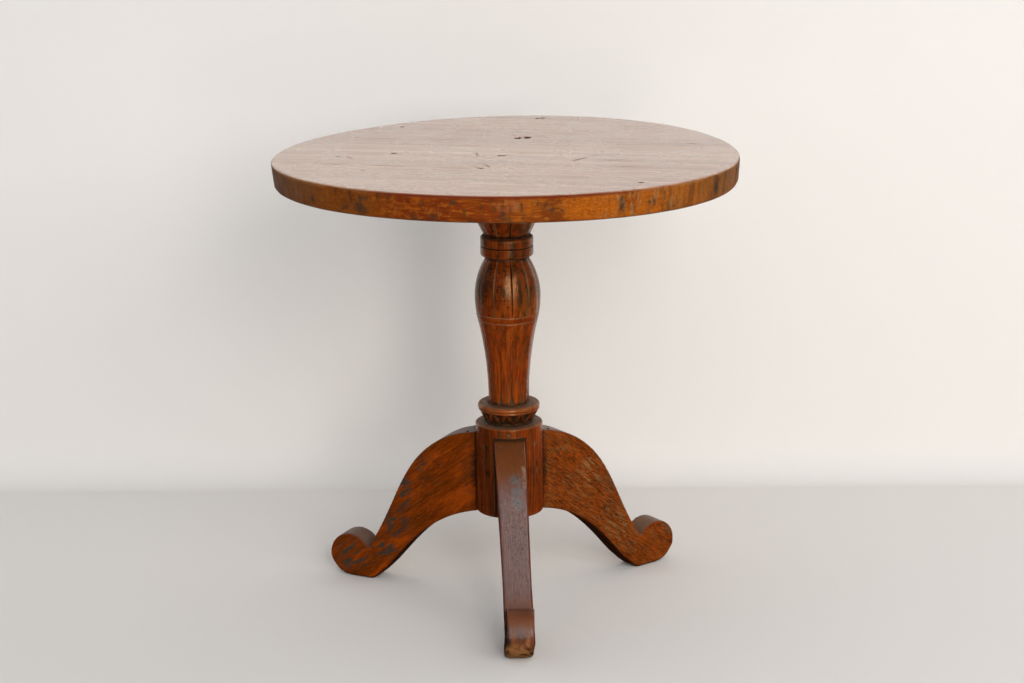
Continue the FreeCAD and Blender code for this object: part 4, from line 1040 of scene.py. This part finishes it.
def block_outline():
    """Half the base block's outline, closed along its bore."""
    corner = DRUM_RADIUS - DRUM_ROUND
    neck = RING_NECK_RADIUS
    bead = 4.0
    middle = RING_RADIUS - 3.5
    outline = [(r, DRUM_BOTTOM) for r in (BORE_RADIUS, 28, corner)]
    outline += quarter((corner, DRUM_BOTTOM + DRUM_ROUND), DRUM_ROUND, -90, 4)
    outline += [(DRUM_RADIUS, z) for z in np.linspace(DRUM_BOTTOM + DRUM_ROUND, DRUM_TOP - DRUM_ROUND, 60)]
    outline += quarter((corner, DRUM_TOP - DRUM_ROUND), DRUM_ROUND, 0, 4)
    outline += [(corner, DRUM_TOP), (38, DRUM_TOP), (neck + 0.7, DRUM_TOP), (neck, DRUM_TOP + 0.7)]
    for share in np.linspace(0, 1, 30):
        outline.append((neck + (RING_RADIUS - neck) * share, DRUM_TOP + 2 + 17 * share))
    for degrees in range(-40, 90, 10):
        swing = math.radians(degrees)
        outline.append((middle + bead * math.cos(swing), RING_TOP - bead + bead * math.sin(swing)))
    outline += [(r, RING_TOP) for r in (middle, 34, 28, 20, BORE_RADIUS)]
    outline += [(BORE_RADIUS, 200), (BORE_RADIUS, DRUM_BOTTOM)]
    return outline


block_cuts = {"Cuts around": PITS, "Material": turned_teak}
block = turn_wood("carved_base_block", block_outline(), {
    "Steps around": PITS * STEPS_PER_CUT, "First cut": FIRST_PIT, "Crowding": 0.0, **block_cuts,
})
use_tree(block, notches, {
    "First cut": FIRST_PIT, "Half width": 7.3 * MM, "Base level": 268.6 * MM, "Tip level": 253.5 * MM,
    "Depth": 2.4 * MM, "Slope": 1.3, **block_cuts,
})
use_tree(block, notches, {
    "First cut": FIRST_PIT + math.pi / PITS, "Half width": 6.7 * MM, "Base level": 253.2 * MM,
    "Tip level": 268.0 * MM, "Depth": 2.2 * MM, "Slope": 1.3, **block_cuts,
})
settle(block)
seal(block)
housings = []
for side, turn in LEG_TURNS.items():
    housings.append(prism(side + "_seat", [
        (40, -HOUSING_HALF), (52, -HOUSING_HALF), (52, HOUSING_HALF), (40, HOUSING_HALF),
    ], 120, HOUSING_TOP, turn))
    housings.append(prism(side + "_slot", [
        (23.8, -12.2), (40, -8.2), (43, -8.2), (43, 8.2), (40, 8.2), (23.8, 12.2),
    ], 119, 227.2, turn))
cut_away(block, housings)
cut_away(column, [
    prism("head_kerf", [(-2.1, -19), (2.1, -19), (2.1, 19), (-2.1, 19)], 564, 590, FIRST_FLUTE),
    prism("foot_kerf", [(-2.1, -16), (2.1, -16), (2.1, 16), (-2.1, 16)], 120, 153, FIRST_FLUTE),
])


# Top: a disc that is a little out of round, sawn into its three boards
def rim_radius(turn):
    """Radius of the top in a direction."""
    wide = 4.2 * np.cos(2 * (turn - math.radians(64))) + 7.3 * np.cos(3 * (turn - math.radians(77)))
    return 304.5 + wide + 5.0 * np.cos(turn)


def disc_rings(turns):
    """Rings of the disc, each a radius and a level in every direction, from the top to the underside."""
    reach = rim_radius(turns)
    around = np.stack([np.cos(turns), np.sin(turns), np.zeros(RIM_STEPS)], 1) * TOP_RADIUS
    worn = 3.2 + 1.4 * ripple(around, 60, 3) + 0.8 * ripple(around, 18, 4)
    lean = 2.5 - 0.8 * np.cos(turns)
    even = np.ones(RIM_STEPS)
    low = BOARD_BOTTOM + LOWER_ROUND
    rings = [((reach - worn) * share, BOARD_TOP * even) for share in np.linspace(0.008, 1.0, 118)]
    for part in np.linspace(0.15, 1.0, 7):
        swing = part * math.pi / 2
        rings.append((reach - worn * (1 - math.sin(swing)), BOARD_TOP - worn * (1 - math.cos(swing))))
    for share in np.linspace(0.1, 1.0, 12):
        rings.append((reach - lean * share, (BOARD_TOP - worn) * (1 - share) + low * share))
    for part in np.linspace(0.2, 1.0, 6):
        swing = part * math.pi / 2
        radius = reach - lean - LOWER_ROUND * (1 - math.cos(swing))
        rings.append((radius, (low - LOWER_ROUND * math.sin(swing)) * even))
    for share in np.linspace(0.97, 0.01, 36):
        rings.append(((reach - lean - LOWER_ROUND) * share, BOARD_BOTTOM * even))
    return rings


def disc_piece():
    """Disc with a worn upper arris, a side that leans in, and a rounded lower edge."""
    turns = np.arange(RIM_STEPS) * math.tau / RIM_STEPS
    rings = disc_rings(turns)
    points = []
    for radii, levels in rings:
        points += [(r * math.cos(t), r * math.sin(t), z) for r, z, t in zip(radii, levels, turns)]
    points += [(0, 0, BOARD_TOP), (0, 0, BOARD_BOTTOM)]
    last = (len(rings) - 1) * RIM_STEPS
    faces = []
    for low in range(0, last, RIM_STEPS):
        for i in range(RIM_STEPS):
            j = (i + 1) % RIM_STEPS
            faces.append((low + i, low + RIM_STEPS + i, low + RIM_STEPS + j, low + j))
    for i in range(RIM_STEPS):
        j = (i + 1) % RIM_STEPS
        faces.append((len(points) - 2, i, j))
        faces.append((len(points) - 1, last + j, last + i))
    return new_piece("disc", points, faces)


def wear_disc(whole):
    """Uneven side, and pits in the face of the top."""
    places = points_of(whole)
    rim = np.hypot(places[:, 0], places[:, 1])
    side = ((rim - 285) / 15).clip(0, 1) * (places[:, 2] < BOARD_TOP - 2)
    push = side * (0.5 * ripple(places, 28, 5) + 0.25 * ripple(places, 9, 6))
    places[:, :2] *= (1 + push / np.maximum(rim, 1))[:, None]
    upper = places[:, 2] > BOARD_TOP - 1
    for x, y, length, width, depth in TOP_PITS:
        along = (places[:, 0] - x) * math.cos(TOP_TURN) + (places[:, 1] - y) * math.sin(TOP_TURN)
        across = (places[:, 1] - y) * math.cos(TOP_TURN) - (places[:, 0] - x) * math.sin(TOP_TURN)
        inside = (1.2 - np.hypot(along / length, across / width)).clip(0, 1)
        places[:, 2] -= upper * depth * inside
    move_points(whole, places)


def sawn_board(name, disc, low, high):
    """Board of the disc between two lines along the grain."""
    shell = bmesh.new()
    shell.from_mesh(disc.data)
    normal = Vector((-math.sin(TOP_TURN), math.cos(TOP_TURN), 0))
    for edge, side in ((low, -1), (high, 1)):
        if edge is None:
            continue
        cut = bmesh.ops.bisect_plane(
            shell, geom=shell.verts[:] + shell.edges[:] + shell.faces[:], dist=0.001 * MM,
            plane_co=normal * edge * MM, plane_no=normal * side, clear_outer=True,
        )
        rim = [e for e in cut["geom_cut"] if isinstance(e, bmesh.types.BMEdge)]
        bmesh.ops.contextual_create(shell, geom=rim)
    mesh = bpy.data.meshes.new(name)
    shell.to_mesh(mesh)
    shell.free()
    return seal(new_object(name, mesh))


disc = disc_piece()
wear_disc(disc)
# Both sides of a seam, with the gap between them
near = SEAM - SEAM_GAP / 2
far = SEAM + SEAM_GAP / 2
boards = {
    name: sawn_board("waxed_board_" + name, disc, low, high)
    for name, low, high in (("front", None, -far), ("middle", -near, near), ("back", far, None))
}
bpy.data.objects.remove(disc)
CRACK_TURN = math.radians(-17.2)
cut_away(boards["middle"], [prism("crack", [(262, 0.2), (325, -2.8), (325, 2.6)], 570, 608, CRACK_TURN)])


# Legs: the sawn shapes, with their arrises worn round
def worn_leg(side):
    """Leg with softened edges."""
    leg = new_object("scroll_leg_" + side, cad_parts["leg_" + side].data.copy())
    seal(leg, 0.01)
    remesh = leg.modifiers.new("even", "REMESH")
    remesh.mode = "VOXEL"
    remesh.voxel_size = 1.4 * MM
    soften = leg.modifiers.new("soften", "SMOOTH")
    soften.factor = 0.5
    soften.iterations = 3
    settle(leg)
    leg.data.shade_smooth()
    return leg


def crest_rise(side, along):
    """How far the crest of a leg stands above the sawn pattern, at a distance from the column's axis."""
    return CREST_FULLNESS[side] * np.interp(along, [45, 80, 135, 172], [0.3, 1.0, 1.0, 0.0])


def lean_leg(points, along):
    """Leans and turns the front leg a little, and flares and turns its scroll."""
    turn = LEG_TURNS["front"]
    _, across = leg_axes(points, "front")
    flare = 0.11 * across * ((60 - points[:, 2]) / 60).clip(0, 1)
    flare += 0.09 * (points[:, 2] - 31).clip(-31, 31) * ((along - 188) / 18).clip(0, 1)
    points[:, 0] -= flare * math.sin(turn)
    points[:, 1] += flare * math.cos(turn)
    lean = 0.038 * (230 - points[:, 2]).clip(0, None)
    askew = math.radians(-1.2)
    x = points[:, 0] * math.cos(askew) - points[:, 1] * math.sin(askew) - lean * math.sin(turn)
    points[:, 1] = points[:, 0] * math.sin(askew) + points[:, 1] * math.cos(askew) + lean * math.cos(turn)
    points[:, 0] = x


def shape_leg(leg, side):
    """Small differences between the legs that come from shaping them by hand."""
    points = points_of(leg)
    along, _ = leg_axes(points, side)
    # Highest and lowest point in every 2 mm of the leg's length
    strip = np.clip((along / 2).astype(int), 0, 200)
    crest = np.full(201, -1e3)
    sole = np.full(201, 1e3)
    np.maximum.at(crest, strip, points[:, 2])
    np.minimum.at(sole, strip, points[:, 2])
    share = ((points[:, 2] - sole[strip]) / np.maximum(crest[strip] - sole[strip], 1)).clip(0, 1)
    points[:, 2] += crest_rise(side, along) * share**1.5
    # The foot is rounded near the floor
    a, b, count = edges_of(leg)
    low = ((22 - points[:, 2]) / 8).clip(0, 1)[:, None] * 0.5
    for _ in range(30):
        mean = np.stack([near_mean(points[:, i], a, b, count) for i in range(3)], 1)
        points += low * (mean - points)
    if side == "front":
        lean_leg(points, along)
    move_points(leg, points)


legs = {side: worn_leg(side) for side in LEG_TURNS}
for side, leg in legs.items():
    shape_leg(leg, side)


# Wear, dirt, dust, painted shade and a painted highlight that the finishes read from the points
def mark_column():
    """Slightly uneven surface, dusty cut rings, dirt and painted shade under ledges, and rubbed arrises on
    the column.
    """
    points = points_of(column)
    radius = np.hypot(points[:, 0], points[:, 1])
    level = points[:, 2]
    swell = 1 + (0.22 * ripple(points, 26, 1) + 0.08 * ripple(points, 7, 2)) / np.maximum(radius, 8)
    carved = (level > RING_TOP + 3) & (level < NECK_TOP - 3)
    points[carved, :2] *= swell[carved, None]
    move_points(column, points)
    leaf = (level > RING_TOP + 1) & (level < LEAF_TIP - 5)
    stem = (level > LEAF_TIP - 2) & (level < LOWER_LINE)
    hollow = read_points(column, "hollow")
    hollow[leaf] *= 0.8
    hollow[stem] *= 0.3
    uneven = (0.75 + 0.5 * ripple(points, 14, 8)).clip(0.2, 1)
    from_ring = np.minimum(np.abs(level - UPPER_LINE), np.abs(level - LOWER_LINE))
    rings = (1 - from_ring / 0.9).clip(0, 1) * uneven
    side = ((np.abs(points[:, 0]) - 6) / 6).clip(0, 1)
    dust = np.maximum(rings * 0.8, hollow * np.select([leaf, stem], [0.42, 0.0], side * 0.6))
    cut = (1 - np.abs(level - (COLLAR_BOTTOM + COLLAR_TOP) / 2) / 1.3).clip(0, 1)
    # Dirt and painted shade: bands at the stem's foot, under the collar and at the neck's foot are darkened
    corners_of_dirt_and_shade = [(RING_TOP + 2, 5), (VASE_TOP + 1, 5), (COLLAR_TOP + 1, 6)]
    dirt = np.max([(1 - np.abs(level - place) / reach).clip(0, 1) for place, reach in corners_of_dirt_and_shade], axis=0)
    keep_on_points(column, "dust", dust)
    keep_on_points(column, "hollow", np.max([hollow, cut, 0.7 * dirt], axis=0))
    keep_on_points(column, "worn", (edge_sharpness(column, 1) * 5 - 0.25).clip(0, 1))


def mark_block():
    """Dirt in the carved pits, dirt and painted shade under the ring, at the stem's foot, in the leg housings
    and towards the bottom of the carved band, dust in the pits' bottoms, rubbed arrises, and a painted
    highlight along the ring's bead.
    """
    points = points_of(block)
    level = points[:, 2]
    radius = np.hypot(points[:, 0], points[:, 1])
    hollow = read_points(block, "hollow")
    # Dirt and painted shade: the corner under the ring's cone, the ring's top at the stem's foot and the gaps
    # of the leg housings are darkened
    neck = (1 - np.abs(level - DRUM_TOP - 1) / 5).clip(0, 1) * (radius < 37)
    stem = (1 - (radius - STEM_RADIUS) / 5).clip(0, 1) * (level > RING_TOP - 1)
    seat = np.zeros(len(points))
    for side in LEG_TURNS:
        along, across = leg_axes(points, side)
        beside = (1 - np.abs(np.abs(across) - HOUSING_HALF) / 1.5).clip(0, 1) * (level < HOUSING_TOP + 1.5)
        above = (1 - np.abs(level - HOUSING_TOP) / 2).clip(0, 1) * (np.abs(across) < HOUSING_HALF + 0.8)
        seat = np.maximum(seat, np.maximum(beside, above) * (along > 30))
    carved = (level > DRUM_TOP + 1) & (level < RING_TOP - 8) & (radius > 30)
    # The carved band is dirty all over, and darker towards its bottom as painted shade
    grime_and_painted_shade = carved * (0.38 + 0.25 * ripple(points, 6, 9)) + 0.45 * carved * ((262 - level) / 10).clip(0, 1)
    keep_on_points(block, "hollow", np.max([hollow, neck, 0.8 * stem, seat, grime_and_painted_shade], axis=0))
    keep_on_points(block, "dust", 0.12 * hollow)
    # Painted highlight: a pale band along the ring's bead, laid on as rubbed wear
    bead = (level > RING_TOP - 5) & (level < RING_TOP - 0.5) & (radius > 38)
    rubbed = bead * (0.6 + 0.5 * ripple(points, 12, 10))
    worn = np.maximum(edge_sharpness(block, 1) * 5 - 0.25, rubbed)
    keep_on_points(block, "worn", worn.clip(0, 1) * ~carved)


def mark_leg(leg, side):
    """Arrises rubbed by use, dirt and painted shade in the hollow of the scroll, and a dark joint beside the
    drum.
    """
    points = points_of(leg)
    sharp = edge_sharpness(leg, 2)
    along, _ = leg_axes(points, side)
    joint = (1 - (along - 40) / 5).clip(0, 1)
    keep_on_points(leg, "worn", (sharp * 9 - 0.5).clip(0, 1))
    keep_on_points(leg, "hollow", np.maximum((-sharp * 9 - 0.6).clip(0, 1), 0.7 * joint))


mark_column()
mark_block()
for side, leg in legs.items():
    mark_leg(leg, side)


# Nails and screws: one of each, placed on marked points
SLOT_DEPTH = 1.3
NAIL_REACH = 56
NAIL_SPREAD = 13
NAIL_LEVEL = 230.8
NAIL_TILT = math.radians(38)
# The front leg's nails are driven below the surface, and filler hides their heads
NAIL_SUNK = {"front": 1.2, "right": 0.0, "left": 0.0}
SCREW_ACROSS = (-45, 45)
SCREW_ALONG = (-165, -76, 76, 165)


def place_tree(name, head_radius, head_height, shank_radius, length, dome=0.0, slot=0.0):
    """Puts a headed metal piece on every point, along the point's own direction."""
    tree, given = new_tree(name)
    shank = add(tree, "GeometryNodeMeshCone", {
        "Vertices": 12, "Radius Top": 0.15 * MM, "Radius Bottom": shank_radius * MM, "Depth": length * MM,
    }, fill_type="NGON").outputs["Mesh"]
    if dome:
        ball = add(tree, "GeometryNodeMeshUVSphere", {
            "Segments": 18, "Rings": 9, "Radius": head_radius * MM,
        }).outputs["Mesh"]
        head = add(tree, "GeometryNodeTransform", {"Geometry": ball, "Scale": (1.0, 1.0, dome)}).outputs[0]
    else:
        head = add(tree, "GeometryNodeMeshCone", {
            "Vertices": 20, "Radius Top": shank_radius * MM, "Radius Bottom": head_radius * MM,
            "Depth": head_height * MM,
        }, fill_type="NGON").outputs["Mesh"]
    if slot:
        bar = add(tree, "GeometryNodeMeshCube", {
            "Size": (3 * head_radius * MM, slot * MM, 2 * SLOT_DEPTH * MM),
        }).outputs["Mesh"]
        head = add(tree, "GeometryNodeMeshBoolean", {
            "Mesh 1": head, "Mesh 2": bar,
        }, operation="DIFFERENCE").outputs["Mesh"]
    whole = add(tree, "GeometryNodeJoinGeometry")
    for part in (shank, head):
        tree.links.new(part, whole.inputs[0])
    lean = add(tree, "GeometryNodeInputNamedAttribute", {"Name": "lean"}, data_type="FLOAT_VECTOR")
    turn = add(tree, "FunctionNodeAlignRotationToVector", {"Vector": lean.outputs["Attribute"]}, axis="Z")
    spin = add(tree, "FunctionNodeRandomValue", {"Min": 0.0, "Max": math.tau, "Seed": 4}, data_type="FLOAT")
    spin = add(tree, "ShaderNodeCombineXYZ", {2: spin})
    spin = add(tree, "FunctionNodeEulerToRotation", {0: spin})
    turn = add(tree, "FunctionNodeRotateRotation", {
        "Rotation": turn, "Rotate By": spin,
    }, rotation_space="LOCAL")
    copies = add(tree, "GeometryNodeInstanceOnPoints", {
        "Points": given["Geometry"], "Instance": whole, "Rotation": turn,
    })
    return end_tree(tree, copies, given["Material"])


def fastenings(name, places, leans, stopped, tree, material):
    """Metal pieces at places in millimetres: the way each one points, and whether filler hides its head."""
    piece = new_piece(name, places, [])
    keep_on_points(piece, "stopped", stopped)
    lean = piece.data.attributes.new("lean", "FLOAT_VECTOR", "POINT")
    lean.data.foreach_set("vector", np.asarray(leans, np.float32).ravel())
    use_tree(piece, tree, {"Material": material})
    return settle(piece)


nail_places = []
nail_leans = []
nails_stopped = []
for side, turn in LEG_TURNS.items():
    spin = Matrix.Rotation(turn, 3, "Z")
    level = NAIL_LEVEL + crest_rise(side, NAIL_REACH) - NAIL_SUNK[side]
    for across in (-NAIL_SPREAD, NAIL_SPREAD):
        nail_places.append(spin @ Vector((NAIL_REACH, across, level)))
        nail_leans.append(spin @ Vector((-math.sin(NAIL_TILT), 0, -math.cos(NAIL_TILT))))
        nails_stopped.append(NAIL_SUNK[side] > 0)
nail_tree = place_tree(
    "nails", head_radius=2.7, head_height=1.2, shank_radius=1.4, length=57.0, dome=0.28,
)
nails = fastenings("hammered_nails", nail_places, nail_leans, nails_stopped, nail_tree, nail_iron)
screw_places = []
for x in SCREW_ACROSS:
    for y in SCREW_ALONG:
        screw_places.append(Matrix.Rotation(TOP_TURN, 3, "Z") @ Vector((x, y, NECK_TOP + 0.1)))
screw_leans = [(0, 0, 1) for _ in screw_places]
screws_stopped = [False for _ in screw_places]
screw_tree = place_tree(
    "screws", head_radius=4.9, head_height=3.0, shank_radius=2.4, length=37.5, slot=1.4,
)
screws = fastenings("slotted_screws", screw_places, screw_leans, screws_stopped, screw_tree, screw_steel)


# Bearer: the planed bar, with its arrises eased
def eased_bearer():
    """Bearer with small bevels along its edges."""
    bar = new_object("planed_bearer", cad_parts["bearer"].data.copy())
    seal(bar, 0.01)
    bevel = bar.modifiers.new("ease", "BEVEL")
    bevel.width = 1.2 * MM
    bevel.segments = 2
    bevel.limit_method = "ANGLE"
    bevel.angle_limit = math.radians(50)
    return settle(bar)


bearer = eased_bearer()

# Every piece gets its finish, rides on the table and stands for its solid
pieces = [
    (column, "column", "turned_teak", turned_teak, 50),
    (block, "base_block", "turned_teak", turned_teak, 40),
    (nails, "leg_nails", "nail_iron", nail_iron, 40),
    (screws, "bearer_screws", "screw_steel", screw_steel, 30),
    (bearer, "bearer", "bearer_teak", bearer_teak, 30),
]
pieces += [(board, "top_board_" + name, "top_teak", top_teak, 40) for name, board in boards.items()]
pieces += [(leg, "leg_" + side, "leg_teak", leg_teaks[side], 60) for side, leg in legs.items()]
for piece, node, slot, material, angle in pieces:
    piece.data.materials.clear()
    piece.data.materials.append(material)
    shade_by_angle(piece, angle)
    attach(piece, "root")
    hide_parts(node)
for node in ("board_dowels", "head_wedge", "foot_wedge"):
    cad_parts[node].data.materials.clear()
    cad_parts[node].data.materials.append(dowel_wood)


# Studio: a pale floor, and a sheet that sweeps up from it behind the table
def studio_paper(name, code, mirrored):
    """Matt pale paper, clear from behind, even to the camera far from the table, darker in reflections."""
    material, tree, place = new_material(name)
    path = add(tree, "ShaderNodeLightPath").outputs
    surface = add(tree, "ShaderNodeNewGeometry").outputs
    straight = add(tree, "ShaderNodeMath", {
        0: path["Is Camera Ray"], 1: path["Is Shadow Ray"],
    }, operation="MAXIMUM")
    through = where(tree, straight, surface["Backfacing"])
    upward = add(tree, "ShaderNodeSeparateXYZ", {0: surface["Normal"]}).outputs["Z"]
    aside, behind, _ = add(tree, "ShaderNodeSeparateXYZ", {0: place}).outputs
    aside = add(tree, "ShaderNodeMath", {0: aside}, operation="ABSOLUTE").outputs[0]
    away = add(tree, "ShaderNodeVectorMath", {0: place}, operation="LENGTH").outputs["Value"]
    dim = add(tree, "ShaderNodeMath", {
        0: where(tree, (upward, 0.2, 0.9)), 1: where(tree, (aside, 0.7, 1.4)),
    }, operation="MAXIMUM")
    shown = lay(tree, colour(code), mirrored, path["Is Glossy Ray"], dim)
    matt = add(tree, "ShaderNodeBsdfDiffuse", {"Color": shown})
    level = add(tree, "ShaderNodeMapRange", {
        "Value": away, "From Min": 0.6, "From Max": 2.6, "To Min": 0.8,
    })
    even = add(tree, "ShaderNodeEmission", {"Color": colour(code), "Strength": level})
    far = add(tree, "ShaderNodeMath", {
        0: where(tree, (away, 1.3, 2.4)), 1: where(tree, (behind, 0.45, 0.56), (upward, 0.99, 0.9999)),
    }, operation="MAXIMUM").outputs[0]
    far = where(tree, path["Is Camera Ray"], far)
    mixed = add(tree, "ShaderNodeMixShader", {0: far, 1: matt, 2: even})
    clear = add(tree, "ShaderNodeBsdfTransparent")
    mixed = add(tree, "ShaderNodeMixShader", {0: through, 1: mixed, 2: clear})
    add(tree, "ShaderNodeOutputMaterial", {"Surface": mixed})
    return material


def stage_sheet(name, side, width, material):
    """Sheet of the studio that follows a side outline, in millimetres."""
    points = [(x, y, z) for x in (-width, width) for y, z in side]
    count = len(side)
    faces = [(i, i + count, i + count + 1, i + 1) for i in range(count - 1)]
    sheet = new_piece(name, points, faces)
    sheet.data.shade_smooth()
    sheet.data.materials.append(material)


WALL = 520.0
BEND = 60.0
CLEAR = 0.3
corner = []
for bend in np.linspace(0, math.pi / 2, 12):
    corner.append((WALL - BEND + BEND * math.sin(bend), CLEAR + BEND - BEND * math.cos(bend)))
PAPER = "#edeae5"
paper = studio_paper("pale_paper", PAPER, "#3a2c20")
FLOOR = 14000
stage_sheet("studio_floor", [(-FLOOR, 0), (FLOOR, 0)], FLOOR, paper)
stage_sheet("studio_backdrop", corner + [(WALL, 3200)], 5000, paper)
world = bpy.data.worlds.new("soft_sky")
bpy.context.scene.world = world
world.use_nodes = True
sky = world.node_tree
sky.nodes.clear()
path = add(sky, "ShaderNodeLightPath").outputs
towards = add(sky, "ShaderNodeTexCoord").outputs["Generated"]
rise = add(sky, "ShaderNodeSeparateXYZ", {0: towards}).outputs["Z"]
# Reflections show a dim horizon under a bright sky; all other rays meet an even pale sky
mirrored = add(sky, "ShaderNodeMapRange", {
    "Value": rise, "From Min": 0.1, "From Max": 0.8, "To Min": 0.02, "To Max": 0.8,
})
level = add(sky, "ShaderNodeMix", {0: path["Is Glossy Ray"], 2: 0.48, 3: mirrored}, data_type="FLOAT")
level = add(sky, "ShaderNodeMix", {0: path["Is Camera Ray"], 2: level, 3: 1.0}, data_type="FLOAT")
tint = lay(sky, colour("#e9f0fb"), PAPER, path["Is Camera Ray"])
light = add(sky, "ShaderNodeBackground", {"Color": tint, "Strength": level})
add(sky, "ShaderNodeOutputWorld", {"Surface": light})


def soft_lamp(name, place, aim, width, height, power, code):
    """Large soft lamp aimed at a point, in millimetres."""
    lamp = bpy.data.lights.new(name, "AREA")
    lamp.shape = "RECTANGLE"
    lamp.size = width * MM
    lamp.size_y = height * MM
    lamp.energy = power
    lamp.color = colour(code)[:3]
    holder = new_object(name, lamp)
    holder.location = Vector(place) * MM
    holder.rotation_euler = (Vector(aim) - Vector(place)).to_track_quat("-Z", "Y").to_euler()
    return holder


key = soft_lamp("key", (3000, -3500, 2500), (0, 0, 350), 2800, 2300, 58, "#fff8f0")
key.visible_glossy = False
soft_lamp("front_sky", (500, -3300, 2700), (0, 0, 350), 2400, 1000, 16, "#e6eefc")
soft_lamp("glint", (900, -3700, 1230), (0, 0, 420), 800, 2300, 66, "#fff8f0")

# Camera at the photograph's place, with its lean
PICTURE_WIDTH = 1024
FOCAL_PIXELS = 2229.0
SHIFT_PIXELS = 2.0
SENSOR = 36.0
eye = Vector((54.2, -2871.2, 1107.9)) * MM
yaw = -0.01795
pitch = 0.25465
roll = 0.0125
ahead = Vector((math.sin(yaw) * math.cos(pitch), math.cos(yaw) * math.cos(pitch), -math.sin(pitch)))
right = Vector((math.cos(yaw), -math.sin(yaw), 0))
down = ahead.cross(right)
level_right = right * math.cos(roll) + down * math.sin(roll)
level_down = down * math.cos(roll) - right * math.sin(roll)
lens = bpy.data.cameras.new("camera")
lens.sensor_width = SENSOR
lens.lens = FOCAL_PIXELS / PICTURE_WIDTH * SENSOR
lens.shift_x = SHIFT_PIXELS / PICTURE_WIDTH
camera = new_object("camera", lens)
turn = Matrix((level_right, -level_down, -ahead)).transposed()
camera.matrix_world = Matrix.Translation(eye) @ turn.to_4x4()
bpy.context.scene.camera = camera
bpy.context.scene.view_settings.view_transform = "Standard"
